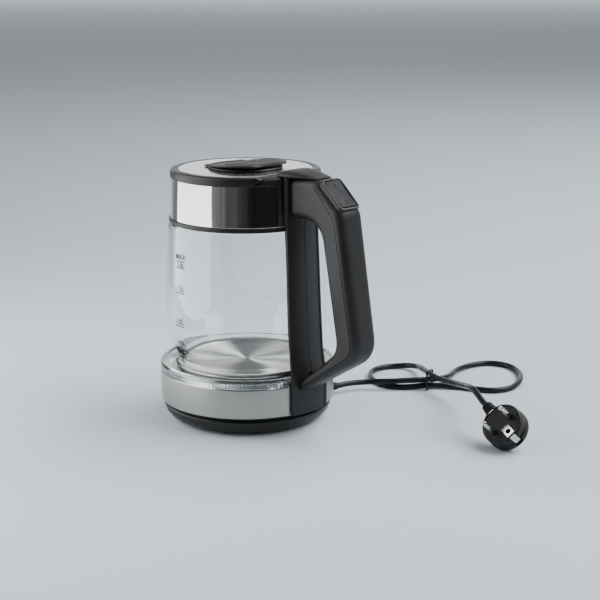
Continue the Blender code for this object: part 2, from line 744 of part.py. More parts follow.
def spout_window(name, margin):
    """The opening in the collar that water leaves through, behind the beak."""
    return box(name, (-80, -15 - margin, 197 - margin), (-55, 15 + margin, 213.5 + margin), "black_plastic")


def steam_way(name):
    return rod(name, (50, 0, 212.0), (90, 0, 212.0), 3.4, "black_plastic")


def steam_tube():
    tube = [(1.9, 0), (3.0, 0), (3.0, 19.0), (1.9, 19.0)]
    return turned("steam_tube", tube, "silicone", (61.5, 0, 212.0), (1, 0, 0), 12)


def spout():
    """The beak: a V in plan that narrows upward from the collar, open inside."""
    bm = bmesh.new()
    levels = [(196.0, 71.2, 17.0), (206.0, 77.5, 17.0), (215.0, 86.0, 16.5), (221.4, 90.0, 16.0)]
    wall, touch = 1.3, 69.2

    def loop(z, tip, half, inset):
        back_x = sqrt(touch ** 2 - half ** 2)
        shape = [(back_x, half), (back_x * 0.35 + tip * 0.65, half * 0.55), (tip - 1.2, 2.2)]
        side = [(-(x - inset * (0.4 if i == 0 else 1.2)) if i else -x, y - inset) for i,
                (x, y) in enumerate(shape)]
        return [Vector((x, y, z)) for x, y in side] + [Vector((x, -y, z)) for x, y in side[::-1]]

    outer = [[bm.verts.new(p) for p in loop(z, tip, half, 0.0)] for z, tip, half in levels]
    inner = [[bm.verts.new(p) for p in loop(z + (2.0 if i == 0 else 0), tip, half, wall)]
             for i, (z, tip, half) in enumerate(levels)]
    count = len(outer[0])
    for a, b in zip(outer, outer[1:]):
        for k in range(count - 1):
            bm.faces.new((a[k], a[k + 1], b[k + 1], b[k]))
    for a, b in zip(inner, inner[1:]):
        for k in range(count - 1):
            bm.faces.new((a[k + 1], a[k], b[k], b[k + 1]))
    for k in range(count - 1):
        bm.faces.new((outer[-1][k], outer[-1][k + 1], inner[-1][k + 1], inner[-1][k]))
    for k in range(len(levels) - 1):
        bm.faces.new((outer[k][0], outer[k + 1][0], inner[k + 1][0], inner[k][0]))
        bm.faces.new((outer[k + 1][-1], outer[k][-1], inner[k][-1], inner[k + 1][-1]))
    bm.faces.new(outer[0])
    bm.faces.new(inner[0][::-1])
    bm.faces.new((outer[0][0], inner[0][0], inner[0][-1], outer[0][-1]))
    beak = new_object("spout", bm, "mirror_steel")
    trim_r = UPPER_BAND_R + GAP + 0.1
    return cut(beak, revolve("spout_trim", [(0, 180), (trim_r, 180), (trim_r, 240), (0, 240)],
                             "mirror_steel"))


def filter_frame():
    """A slotted frame that stands inside the collar, over the window."""
    frame = box("filter_frame", (-59.0, -19.0, 195.5), (-56.6, 19.0, 209.0), "black_plastic")
    cut(frame, box("filter_frame_opening", (-62, -16.2, 197.6), (-54, 16.2, 206.6), "black_plastic"))
    return frame


def filter_mesh():
    return box("filter_mesh", (-58.1, -15.9, 197.9), (-57.5, 15.9, 206.3), "satin_steel")


# ---------------------------------------------------------------- lid

def hinge_z():
    return LID_TOP_Z - HINGE_DROP


def latch_z():
    return 217.5


def lid_ring_profile():
    return [(LID_DISC_R + 0.4, LID_Z), (LID_R - 0.5, LID_Z), (LID_R, LID_Z + 0.6), (LID_R, LID_TOP_Z - 2.0),
            (LID_R - 0.6, LID_TOP_Z - 0.6), (LID_R - 2.0, LID_TOP_Z), (LID_DISC_R + 0.4, LID_TOP_Z - 0.2)]


def knuckle_spans():
    """Where the lid's own hinge knuckles lie along the pin."""
    return [(-KNUCKLE_Y - KNUCKLE_LENGTH, -KNUCKLE_Y), (KNUCKLE_Y, KNUCKLE_Y + KNUCKLE_LENGTH)]


def lug_spans():
    """Where the fixed lugs lie: one between the knuckles and one outside each."""
    outer = KNUCKLE_Y + KNUCKLE_LENGTH + GAP
    inner = KNUCKLE_Y - GAP
    return [(-outer - LUG_LENGTH, -outer), (-inner, inner), (outer, outer + LUG_LENGTH)]


def along_hinge(name, y_from, y_to, radius, finish="black_plastic"):
    return rod(name, (LID_OPEN_X, y_from, hinge_z()), (LID_OPEN_X, y_to, hinge_z()), radius, finish, 16)


def lid_rim():
    """The black rim and the flat rear part of the lid, with its hinge knuckles."""
    under_disc = LID_TOP_Z - 1.3
    edge = lid_ring_profile()[1:]
    rim = revolve("lid_rim", [(0, LID_Z)] + edge + [(edge[-1][0], under_disc), (0, under_disc)],
                  "black_plastic")
    join(rim, box("lid_rear", (LID_CHORD_X + GAP, -32.8, LID_Z + 1), (LID_OPEN_X + 2, 32.8,
                                                                      LID_TOP_Z - 0.1), "black_plastic"))
    cut(rim, box("behind_hinge", (LID_OPEN_X, -90, 200), (120, 90, 260), "black_plastic"))
    for i, (low, high) in enumerate(lug_spans()):
        cut(rim, along_hinge(f"lug_room_{i + 1}", low - GAP, high + GAP, KNUCKLE_R + GAP))
    for i, (low, high) in enumerate(knuckle_spans()):
        join(rim, along_hinge(f"knuckle_{i + 1}", low, high, KNUCKLE_R))
    cut(rim, along_hinge("knuckle_bore", -40, 40, HINGE_PIN_R + GAP))
    return rim


def lid_disc():
    disc = revolve("lid_disc", [(0, LID_TOP_Z - 1.0), (LID_DISC_R, LID_TOP_Z - 1.0), (LID_DISC_R,
                                                                                      LID_TOP_Z - 0.1),
                                (0, LID_TOP_Z - 0.1)], "satin_steel")
    return cut(disc, box("disc_chord", (LID_CHORD_X, -90, 200), (120, 90, 260), "satin_steel"))


def lid_plug():
    """The part of the lid that goes down into the collar, open underneath."""
    low, high = LID_PLUG_Z, LID_Z - GAP
    wall = 2.0
    inner = LID_PLUG_R - wall
    profile = [(0, high - wall), (inner, high - wall), (inner, low), (LID_PLUG_R, low),
               (LID_PLUG_R, high - 3.4),
               (LID_PLUG_R - 1.4, high - 3.4), (LID_PLUG_R - 1.4, high - 1.2), (LID_PLUG_R, high - 1.2),
               (LID_PLUG_R, high),
               (0, high)]
    plug = revolve("lid_plug", profile, "black_plastic")
    cut(plug, box("plug_rear", (LID_OPEN_X - 3.6, -90, 200), (120, 90, 260), "black_plastic"))
    width, height = LATCH_WIDTH / 2 + GAP, LATCH_HEIGHT / 2 + GAP
    cut(plug, box("latch_way", (-90, -width, latch_z() - height), (-50, width, latch_z() + height),
                  "black_plastic"))
    rail_low, rail_high, rail = latch_z() - 3.0, high - wall / 2, 1.2
    for i, side in enumerate((-1, 1)):
        near, far = sorted((side * width, side * (width + rail)))
        join(plug, box(f"latch_rail_{i + 1}", (-56, near, rail_low), (-38, far, rail_high),
                       "black_plastic"))
    return join(plug, box("spring_stop", (-27.8, -3, rail_low), (-26.6, 3, rail_high), "black_plastic"))


def lid_seal():
    high = LID_Z - GAP
    profile = [(LID_PLUG_R - 1.0, high - 3.0), (LID_PLUG_R + 1.1, high - 2.6),
               (LID_PLUG_R + 1.1, high - 2.0),
               (LID_PLUG_R - 1.0, high - 1.6)]
    seal = revolve("lid_seal", profile, "silicone")
    return cut(seal, box("seal_rear", (LID_OPEN_X - 3.6, -90, 200), (120, 90, 260), "silicone"))


def latch_bolt():
    half_y, half_z = LATCH_WIDTH / 2, LATCH_HEIGHT / 2
    nose, tail = -LINER_R + LINER_WALL - 1.4, -40.0
    z = latch_z()
    outline = [(tail, z - half_z), (nose + 1.6, z - half_z), (nose, z), (nose, z + half_z),
               (tail, z + half_z)]
    return prism("latch_bolt", outline, -half_y, half_y, "black_plastic")


def latch_spring():
    z = latch_z()
    points = []
    turns, steps = 4, 8
    for i in range(turns * steps + 1):
        angle = 2 * pi * i / steps
        points.append((-36.4 + 8.0 * i / (turns * steps), 2.0 * cos(angle), z + 2.0 * sin(angle)))
    return wire("latch_spring", points, 0.7, "satin_steel", 1)


def knob_dish():
    """The low round dish that the grip lies in, hollowed on the spout side for a fingertip."""
    low = LID_TOP_Z + 0.2
    profile = [(0, low), (KNOB_R - 2.0, low), (KNOB_R, low + 0.8), (KNOB_R - 1.5, low + 2.2),
               (KNOB_R - 5, low + 2.6),
               (KNOB_R - 9, low + 1.2), (0, low + 1.0)]
    return revolve("knob_dish", profile, "black_plastic", 36)


def lid_grip():
    """The ribbed plate that is pulled up to free the lid; it turns about its end near the handle."""
    bm = bmesh.new()
    front, back = GRIP_FRONT_X, GRIP_PIVOT_X + 3.5
    radius = KNOB_R - 3.0
    under, top = KNOB_TOP_Z + 0.4, GRIP_TOP_Z
    stations = [(front, under + 0.2, under + 1.5), (front + 7, under, under + 2.4),
                (-2.0, under, top - 1.0),
                (12.0, under, top - 0.3), (back - 2.0, under, top), (back, under + 0.8, top - 1.2)]
    rings = []
    for x, low, high in stations:
        half = sqrt(max(radius ** 2 - x ** 2, 16.0)) * (0.86 if x > front else 0.72)
        half = min(half, 24.0)
        rings.append([bm.verts.new(p) for p in ((x, -half, low), (x, -half + 0.6, high - 0.5),
                                                (x, -half + 2.2, high),
                                                (x, half - 2.2, high), (x, half - 0.6, high - 0.5),
                                                (x, half, low))])
    for a, b in zip(rings, rings[1:]):
        for k in range(6):
            bm.faces.new((a[k], a[(k + 1) % 6], b[(k + 1) % 6], b[k]))
    bm.faces.new(rings[0])
    bm.faces.new(rings[-1])
    return new_object("lid_grip", bm, "soft_black")


# ---------------------------------------------------------------- handle

def spine_sweep(extra=0.0):
    half = (SPINE_WIDTH / 2 + extra) / 77.5
    return (-half, half)


def spine_clear(name, extra):
    """Everything from the axis out to the spine's face, used to trim the handle's ends."""
    outline = [(r + extra, z) for r, z in SPINE_OUTER]
    outline = [(0, -10), (outline[0][0], -10)] + outline + [(outline[-1][0], 262), (0, 262)]
    return revolve(name, outline, "black_plastic")


def handle_spine():
    spine = revolve("handle_spine", SPINE_OUTER + SPINE_INNER, "black_plastic", 8, spine_sweep())
    for i, (z, head_x) in enumerate(((UPPER_SCREW_Z, 71.6), (LOWER_SCREW_Z, 82.4))):
        cut(spine, rod(f"spine_screw_way_{i + 1}", (60, 0, z), (95, 0, z), SCREW_R + GAP, "black_plastic"))
        cut(spine, rod(f"spine_screw_seat_{i + 1}", (60, 0, z), (head_x, 0, z), SCREW_HEAD_R + GAP,
                       "black_plastic"))
    cut(spine, steam_way("spine_steam_way"))
    cut(spine, box("spine_wire_way", (60, -4.5, 37.0), (95, 4.5, 43.5), "black_plastic"))
    return spine


def handle_solid(name):
    outline = rounded(HANDLE_OUTER) + rounded(HANDLE_INNER)[::-1]
    half = HANDLE_WIDTH / 2
    return prism(name, outline, -half, half, "soft_black", HANDLE_EDGE_R)


def handle_hollow(name):
    """The room inside the handle, which stops short of the two screw bosses."""
    outer = rounded(offset_corners(HANDLE_OUTER, -HANDLE_WALL), 4)
    inner = rounded(offset_corners(HANDLE_INNER, HANDLE_WALL), 4)
    half = HANDLE_WIDTH / 2 - HANDLE_WALL
    hollow = prism(name, outer + inner[::-1], -half, half, "soft_black", HANDLE_EDGE_R - HANDLE_WALL, 2)
    cut(hollow, box(f"{name}_upper_boss", (60, -4.5, 190), (88, 4.5, 207.6), "soft_black"))
    cut(hollow, box(f"{name}_lower_boss", (60, -4.5, 45.8), (93.5, 4.5, 80), "soft_black"))
    return hollow


def inside_parting(name, inset):
    """The side of the parting line that faces the jug, as one thick slab."""
    line = rounded(offset_corners(HANDLE_PARTING, -inset))
    outline = [(20, line[0][1])] + line + [(20, line[-1][1] - 5)]
    return prism(name, outline, -40, 40, "soft_black")


def handle_inner_shell():
    shell = handle_solid("handle_inner_shell")
    keep(shell, inside_parting("inner_side", GAP / 2))
    cut(shell, handle_hollow("inner_hollow"), spine_clear("inner_trim", GAP))
    for i, (z, reach) in enumerate(((UPPER_SCREW_Z, 86.5), (LOWER_SCREW_Z, 87.6))):
        cut(shell, rod(f"boss_bore_{i + 1}", (60, 0, z), (reach, 0, z), SCREW_R + GAP, "soft_black"))
    return shell


def rocker_frame():
    """Centre and unit directions of the switch: down the slope, and out of it."""
    top, bottom = Vector((ROCKER_TOP[0], 0, ROCKER_TOP[1])), Vector((ROCKER_BOTTOM[0], 0, ROCKER_BOTTOM[1]))
    down = (bottom - top).normalized()
    return (top + bottom) / 2, down, Vector((-down.z, 0, down.x))


def slope_block(name, length, width, low, high, finish):
    """A block square to the switch's slope, from low to high along its outward direction."""
    centre, down, out = rocker_frame()
    outline = []
    for u, v in ((-length / 2, low), (length / 2, low), (length / 2, high), (-length / 2, high)):
        spot = centre + down * u + out * v
        outline.append((spot.x, spot.z))
    return prism(name, outline, -width / 2, width / 2, finish)


def rocker_length():
    return (Vector(ROCKER_BOTTOM) - Vector(ROCKER_TOP)).length


def handle_outer_cover():
    cover = handle_solid("handle_outer_cover")
    cut(cover, inside_parting("outer_side", -GAP / 2), handle_hollow("outer_hollow"),
        spine_clear("outer_trim", GAP))
    length, width = rocker_length() + 2 * ROCKER_CLEARANCE, ROCKER_WIDTH + 2 * ROCKER_CLEARANCE
    cut(cover, slope_block("rocker_way", length + 2 * BEZEL_RIM + 2 * GAP, width + 2 * BEZEL_RIM + 2 * GAP,
                           -14, 14,
                           "soft_black"))
    cut(cover, box("cap_room", (60, -30, 231.2 - GAP / 2), (98 + GAP, 30, 250), "soft_black"))
    return cover


def switch_bezel():
    length, width = rocker_length() + 2 * ROCKER_CLEARANCE, ROCKER_WIDTH + 2 * ROCKER_CLEARANCE
    bezel = slope_block("switch_bezel", length + 2 * BEZEL_RIM, width + 2 * BEZEL_RIM, -7.0, 1.0,
                        "black_plastic")
    cut(bezel, slope_block("bezel_window", length, width, -20, 20, "black_plastic"))
    pivot = rocker_pivot()
    return cut(bezel, rod("bezel_bearings", (pivot.x, -30, pivot.z), (pivot.x, 30, pivot.z), STUB_R + GAP,
                          "black_plastic", 12))


def rocker_switch():
    """A shallow rocker: its two halves slope slightly to the middle, with a pivot boss underneath."""
    centre, down, out = rocker_frame()
    half = rocker_length() / 2
    shape = [(-half, -2.2), (-4.0, -ROCKER_THICKNESS), (-2.2, -6.6), (2.2, -6.6), (4.0, -ROCKER_THICKNESS),
             (half, -2.2),
             (half, 0.6), (half - 1.0, 1.2), (0, 0.4), (-half + 1.0, 1.2), (-half, 0.6)]
    outline = []
    for u, v in shape:
        spot = centre + down * u + out * v
        outline.append((spot.x, spot.z))
    rocker = prism("rocker_switch", outline, -ROCKER_WIDTH / 2, ROCKER_WIDTH / 2, "black_plastic")
    pivot = rocker_pivot()
    reach = ROCKER_WIDTH / 2 + ROCKER_CLEARANCE + BEZEL_RIM - GAP
    stubs = rod("rocker_stubs", (pivot.x, -reach, pivot.z), (pivot.x, reach, pivot.z), STUB_R,
                "black_plastic", 12)
    return join(rocker, stubs)


def rocker_pivot():
    centre, _, out = rocker_frame()
    return centre + out * -4.6


def trip_lever():
    """The arm that carries the steam cut-out's push to the rocker."""
    x, z = trip_pivot()
    outline = [(x - 9.0, z - 1.0), (x + 8.0, z - 1.0), (x + 8.0, z + 1.0), (x + 1.6, z + 1.2),
               (x - 9.0, z + 1.0)]
    lever = prism("trip_lever", outline, -3.0, 3.0, "black_plastic")
    reach = HANDLE_WIDTH / 2 - HANDLE_WALL - GAP
    return join(lever, rod("trip_stubs", (x, -reach, z), (x, reach, z), STUB_R, "black_plastic", 12))


def trip_pivot():
    return 105.0, 205.0


def steam_cutout():
    block = box("steam_cutout", (83.4, -9.0, 208.4), (94.0, 9.0, 226.0), "black_plastic")
    return block


def handle_screws():
    for i, (z, head_x, reach) in enumerate(((UPPER_SCREW_Z, 69.5, 85.6), (LOWER_SCREW_Z, 81.1, 87.0))):
        head = 1.2
        length = reach - head_x
        profile = [(0, 0), (SCREW_HEAD_R, 0), (SCREW_HEAD_R, head), (SCREW_R, head), (SCREW_R, length),
                   (0, length)]
        turned(f"handle_screw_{i + 1}", profile, "satin_steel", (head_x, 0, z), (1, 0, 0), 12)


def switch_lead():
    """The twin lead from the control block up through the handle to the switch."""
    y = 7.0
    route = [(95.0, y, 54.5), (104, y, 61), (118, y, 69.5), (132, y, 80), (137, y, 96), (134.5, y, 120),
             (130.5, y, 145),
             (126, y, 170), (121, y, 192)]
    return wire("switch_lead", smooth_route(route, 22), 2.4, "cord_pvc", 1)


def handle_cap():
    """The domed cover over the lid's hinge and the top of the handle."""
    bm = bmesh.new()
    low = LID_TOP_Z + GAP
    rings = []
    for x, half, top in CAP_SECTIONS:
        rise = top - low
        shape = [(half, 0), (half, rise * 0.35), (half - 1.2, rise * 0.72), (half - 4.0, rise * 0.93),
                 (half * 0.4, rise)]
        ring = [(x, -y, low + z) for y, z in shape] + [(x, y, low + z) for y, z in shape[::-1]]
        rings.append([bm.verts.new(p) for p in ring])
    count = len(rings[0])
    for a, b in zip(rings, rings[1:]):
        for k in range(count):
            bm.faces.new((a[k], a[(k + 1) % count], b[(k + 1) % count], b[k]))
    bm.faces.new(rings[0])
    bm.faces.new(rings[-1])
    return new_object("handle_cap", bm, "soft_black")


def rear_rim():
    """The fixed rear segment of the rim, with the lugs that hold the hinge pin."""
    rim = revolve("rear_rim",
                  [(30.0, LID_Z)] + [(r, z) for r, z in lid_ring_profile() if r > LID_DISC_R + 1]
                  + [(30.0, LID_TOP_Z)], "black_plastic")
    cut(rim, box("rear_front", (-100, -90, 200), (LID_OPEN_X + GAP, 90, 260), "black_plastic"))
    cut(rim, along_hinge("lid_room", -60, 60, LID_SWING_R))
    for i, (low, high) in enumerate(lug_spans()):
        join(rim, along_hinge(f"lug_{i + 1}", low, high, KNUCKLE_R))
        join(rim, box(f"lug_arm_{i + 1}", (LID_OPEN_X, low, hinge_z() - 2.2), (LID_OPEN_X + 5, high,
                                                                               hinge_z() + 2.2),
                      "black_plastic"))
    return cut(rim, along_hinge("lug_bore", -60, 60, HINGE_PIN_R + GAP))


def hinge_pin():
    end = KNUCKLE_Y + KNUCKLE_LENGTH + GAP + LUG_LENGTH - 0.5
    return along_hinge("hinge_pin", -end, end, HINGE_PIN_R, "satin_steel")


# ---------------------------------------------------------------- assembly

def build():
    for obj in list(bpy.data.objects):
        bpy.data.objects.remove(obj, do_unlink=True)
    base_top_cover()
    base_bottom_plate()
    base_feet()
    base_screws()
    base_socket()
    socket_contacts()
    strain_relief()
    power_cord()
    cord_tie()
    plug_body()
    plug_pins()
    plug_earth_clips()
    connector_pin()
    connector_ring()
    connector_housing()
    kettle_bottom_cover()
    lower_band()
    light_ring()
    led_board()
    heating_plate()
    heating_element()
    controller()
    dry_boil_disc()
    plate_seal()
    glass_jug()
    neck_ring()
    upper_band()
    upper_seal()
    neck_liner()
    steam_tube()
    spout()
    filter_frame()
    filter_mesh()
    lid_rim()
    lid_disc()
    lid_plug()
    lid_seal()
    latch_bolt()
    latch_spring()
    knob_dish()
    lid_grip()
    handle_spine()
    handle_inner_shell()
    handle_outer_cover()
    handle_cap()
    switch_bezel()
    rocker_switch()
    trip_lever()
    steam_cutout()
    handle_screws()
    switch_lead()
    rear_rim()
    hinge_pin()


build()
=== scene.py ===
# %% [markdown]
# # An electric kettle, dressed for a studio picture
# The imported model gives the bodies, joints and sizes. This file gives each visible
# piece its finer shape and its finish, and hangs it on the body it moves with.

# %% Load the frame
import json
from math import atan2, cos, degrees, pi, radians, sin, sqrt, tan

import bmesh
import bpy
from mathutils import Matrix, Vector

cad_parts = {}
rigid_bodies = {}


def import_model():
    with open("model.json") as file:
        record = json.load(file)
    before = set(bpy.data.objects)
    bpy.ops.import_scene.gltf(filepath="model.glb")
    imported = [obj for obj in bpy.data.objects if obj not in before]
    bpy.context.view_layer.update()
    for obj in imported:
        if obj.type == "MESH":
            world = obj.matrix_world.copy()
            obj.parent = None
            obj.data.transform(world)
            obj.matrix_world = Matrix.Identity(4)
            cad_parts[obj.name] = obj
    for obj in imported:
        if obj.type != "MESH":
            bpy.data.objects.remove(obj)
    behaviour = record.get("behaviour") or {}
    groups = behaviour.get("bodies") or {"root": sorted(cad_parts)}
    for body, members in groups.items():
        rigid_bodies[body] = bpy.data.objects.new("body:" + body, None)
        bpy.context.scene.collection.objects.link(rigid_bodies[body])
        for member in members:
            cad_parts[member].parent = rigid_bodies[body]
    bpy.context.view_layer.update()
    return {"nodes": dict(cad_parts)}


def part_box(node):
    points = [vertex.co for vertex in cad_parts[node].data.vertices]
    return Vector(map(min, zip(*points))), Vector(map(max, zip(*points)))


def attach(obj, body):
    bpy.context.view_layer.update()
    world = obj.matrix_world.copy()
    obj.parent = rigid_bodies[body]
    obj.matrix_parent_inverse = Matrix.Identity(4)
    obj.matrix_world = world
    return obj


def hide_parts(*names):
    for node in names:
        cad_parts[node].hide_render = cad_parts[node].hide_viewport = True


for leftover in list(bpy.data.objects):
    bpy.data.objects.remove(leftover, do_unlink=True)
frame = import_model()
MM = 0.001


def span(node):
    """A CAD node's lowest and highest corner, in millimetres."""
    low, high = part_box(node)
    return low / MM, high / MM


# %% [markdown]
# ## The camera and the room
# The camera stands a little above the lid, on the handle's side. The object's +X is
# the handle, so the view is given by a place and three directions.

# %% Camera
CAMERA_AT = Vector((886.0, -840.8, 408.7))
LOOK = Vector((-0.67688, 0.69614, -0.23923))
RIGHT = Vector((0.71696, 0.69712, 0.0))
FOCAL_LENGTH = 81.8

lens = bpy.data.cameras.new("camera")
lens.lens = FOCAL_LENGTH
lens.sensor_width = 36.0
lens.clip_start = 0.05
lens.clip_end = 60.0
camera = bpy.data.objects.new("camera", lens)
up = RIGHT.cross(LOOK)
camera.matrix_world = Matrix.Translation(CAMERA_AT * MM) @ Matrix((RIGHT, up, -LOOK)).transposed().to_4x4()
bpy.context.scene.collection.objects.link(camera)
bpy.context.scene.camera = camera
print("camera azimuth", round(degrees(atan2(CAMERA_AT.y, CAMERA_AT.x)), 1))


# %% [markdown]
# ## Colours and nodes
# Colours are written as sRGB hex values, as a paint chart gives them. Shaders work in
# linear light, so one function turns them. One more function adds a node, sets its
# inputs and joins its links, which keeps every material short enough to read.

# %% Colour and node helpers
def linear(code):
    """A hex sRGB colour as linear RGBA."""
    out = []
    for i in (1, 3, 5):
        share = int(code[i:i + 2], 16) / 255
        out.append(share / 12.92 if share <= 0.04045 else ((share + 0.055) / 1.055) ** 2.4)
    return (*out, 1.0)


def add(tree, kind, inputs=None, **settings):
    """Adds a node. inputs maps a socket's name or number to a value or to another node's output."""
    made = tree.nodes.new(kind)
    for key, value in settings.items():
        setattr(made, key, value)
    for key, value in (inputs or {}).items():
        if isinstance(value, bpy.types.NodeSocket):
            tree.links.new(value, made.inputs[key])
        else:
            made.inputs[key].default_value = value
    return made


def finish(name, colour, roughness, metallic=0.0, **sockets):
    """A new material: its tree, its shader and the object's own coordinates."""
    made = bpy.data.materials.new(name)
    made.use_nodes = True
    tree = made.node_tree
    shader = tree.nodes["Principled BSDF"]
    shader.inputs["Base Color"].default_value = linear(colour)
    shader.inputs["Roughness"].default_value = roughness
    shader.inputs["Metallic"].default_value = metallic
    for key, value in sockets.items():
        shader.inputs[key.replace("_", " ")].default_value = value
    place = add(tree, "ShaderNodeTexCoord").outputs["Object"]
    return made, tree, shader, place


def noise(tree, place, size_mm, detail=3.0, stretch=(1, 1, 1)):
    """Noise whose features are about size_mm across, squeezed along an axis by stretch."""
    moved = add(tree, "ShaderNodeMapping", {"Vector": place, "Scale": stretch})
    grain = add(tree, "ShaderNodeTexNoise",
                {"Vector": moved.outputs[0], "Scale": 1 / (size_mm * MM), "Detail": detail})
    return grain.outputs[0]


def vary(tree, value, socket, low, high):
    """Feeds a 0 to 1 pattern into a socket as a range."""
    spread = add(tree, "ShaderNodeMapRange", {"Value": value, "From Min": 0.3, "From Max": 0.7,
                                              "To Min": low, "To Max": high})
    tree.links.new(spread.outputs[0], socket)


def tint(tree, value, shader, first, second):
    """Feeds a 0 to 1 pattern into the base colour as a mix of two colours."""
    mix = add(tree, "ShaderNodeMix", {0: value, 6: linear(first), 7: linear(second)}, data_type="RGBA")
    tree.links.new(mix.outputs[2], shader.inputs["Base Color"])


def reckon(tree, operation, first, second=0.0):
    return add(tree, "ShaderNodeMath", {0: first, 1: second}, operation=operation).outputs[0]


def raise_bump(tree, value, shader, depth_mm, strength=1.0):
    bump = add(tree, "ShaderNodeBump", {"Height": value, "Distance": depth_mm * MM, "Strength": strength})
    tree.links.new(bump.outputs[0], shader.inputs["Normal"])


# %% [markdown]
# ## Plastics
# The black shells are injection-moulded ABS and polypropylene with a spark-eroded
# grain. Such a grain is 0.3 mm across, too fine for this distance, so it is drawn at
# 0.9 mm. The handle has a soft-touch coat: wider, weaker highlights and a warmer grey.

# %% Moulded plastics
def moulded_abs():
    made, tree, shader, place = finish("moulded_black_abs", "#111111", 0.4, Specular_IOR_Level=0.38)
    cloud = noise(tree, place, 26.0)
    tint(tree, cloud, shader, "#0e0e0e", "#151414")
    vary(tree, cloud, shader.inputs["Roughness"], 0.35, 0.46)
    raise_bump(tree, noise(tree, place, 0.9, 2.0), shader, 0.02, 0.35)
    return made


def soft_touch():
    made, tree, shader, place = finish("soft_touch_coated_pc", "#171616", 0.48, Specular_IOR_Level=0.42)
    cloud = noise(tree, place, 34.0)
    tint(tree, cloud, shader, "#151414", "#1b1919")
    vary(tree, cloud, shader.inputs["Roughness"], 0.44, 0.54)
    raise_bump(tree, noise(tree, place, 0.8, 2.0), shader, 0.025, 0.3)
    return made


def satin_abs():
    made, tree, shader, place = finish("satin_black_abs", "#0d0d0e", 0.5, Specular_IOR_Level=0.2)
    vary(tree, noise(tree, place, 12.0), shader.inputs["Roughness"], 0.46, 0.56)
    raise_bump(tree, noise(tree, place, 6.0), shader, 0.02, 0.2)
    return made


def soft_pvc(name, colour, roughness):
    """Plasticised PVC: slightly uneven and semi-glossy from the extruder or the mould."""
    made, tree, shader, place = finish(name, colour, roughness, Specular_IOR_Level=0.32)
    vary(tree, noise(tree, place, 9.0), shader.inputs["Roughness"], roughness - 0.05, roughness + 0.08)
    raise_bump(tree, noise(tree, place, 2.2, 4.0), shader, 0.05, 0.35)
    return made


def moulded_rubber(name, first, second, roughness):
    made, tree, shader, place = finish(name, first, roughness, Specular_IOR_Level=0.3)
    tint(tree, noise(tree, place, 5.0), shader, first, second)
    raise_bump(tree, noise(tree, place, 0.7), shader, 0.03, 0.4)
    return made


ABS = moulded_abs()
SOFT = soft_touch()
SATIN = satin_abs()
LEAD_PVC = soft_pvc("extruded_lead_pvc", "#0a0a0b", 0.34)
PLUG_PVC = soft_pvc("moulded_plug_pvc", "#0e0d0e", 0.44)
RUBBER = moulded_rubber("moulded_foot_rubber", "#151515", "#202020", 0.8)
SILICONE = moulded_rubber("moulded_silicone", "#c9c8c2", "#bdbcb6", 0.5)
print("plastics ready")


# %% [markdown]
# ## Steels
# Stainless steel comes here in three finishes. The collar is polished like a mirror.
# The lower band and the lid disc are brushed, so their scratches run one way and
# spread each highlight across it. The heating plate was turned on a lathe: its
# scratches are rings, and rings draw the bright cross that moves with the light.

# %% Metals
def polished_stainless():
    made, tree, shader, place = finish("polished_stainless", "#d2d2d1", 0.05, 1.0)
    vary(tree, noise(tree, place, 16.0, 2.0, (1, 1, 0.15)), shader.inputs["Roughness"], 0.035, 0.075)
    raise_bump(tree, noise(tree, place, 14.0, 1.0, (1, 1, 0.1)), shader, 0.02, 0.12)
    return made


def round_tangent(tree, shader):
    """Scratches that run round the Z axis."""
    way = add(tree, "ShaderNodeTangent", direction_type="RADIAL", axis="Z")
    tree.links.new(way.outputs[0], shader.inputs["Tangent"])


def rings(tree, place, size_mm):
    """Noise that depends only on the distance from the Z axis, as lathe marks do."""
    parts = add(tree, "ShaderNodeSeparateXYZ", {0: place})
    flat = add(tree, "ShaderNodeCombineXYZ", {0: parts.outputs[0], 1: parts.outputs[1]})
    reach = add(tree, "ShaderNodeVectorMath", {0: flat.outputs[0]}, operation="LENGTH")
    line = add(tree, "ShaderNodeCombineXYZ", {0: reach.outputs["Value"]})
    return noise(tree, line.outputs[0], size_mm, 4.0)


def lathe_turned_stainless():
    made, tree, shader, place = finish("lathe_turned_stainless", "#d6d5d1", 0.4, 1.0, Anisotropic=1.0,
                                        Anisotropic_Rotation=0.25)
    round_tangent(tree, shader)
    marks = rings(tree, place, 0.9)
    tint(tree, marks, shader, "#c6c5c1", "#e4e3df")
    vary(tree, marks, shader.inputs["Roughness"], 0.36, 0.44)
    return made


def band_brushed_stainless():
    made, tree, shader, place = finish("band_brushed_stainless", "#a3a39f", 0.33, 1.0, Anisotropic=0.35,
                                        Anisotropic_Rotation=0.25)
    round_tangent(tree, shader)
    lines = noise(tree, place, 8.0, 5.0, (1, 1, 18))
    tint(tree, lines, shader, "#979793", "#acaca8")
    vary(tree, lines, shader.inputs["Roughness"], 0.31, 0.42)
    return made


def sheet_brushed_stainless():
    made, tree, shader, place = finish("sheet_brushed_stainless", "#d6d6d3", 0.26, 1.0)
    lines = noise(tree, place, 9.0, 5.0, (1, 16, 1))
    tint(tree, lines, shader, "#cbcbc8", "#dfdfdc")
    vary(tree, lines, shader.inputs["Roughness"], 0.20, 0.32)
    return made


def plain_metal(name, first, second, roughness):
    made, tree, shader, place = finish(name, first, roughness, 1.0)
    cloud = noise(tree, place, 4.0)
    tint(tree, cloud, shader, first, second)
    vary(tree, cloud, shader.inputs["Roughness"], roughness - 0.06, roughness + 0.08)
    return made


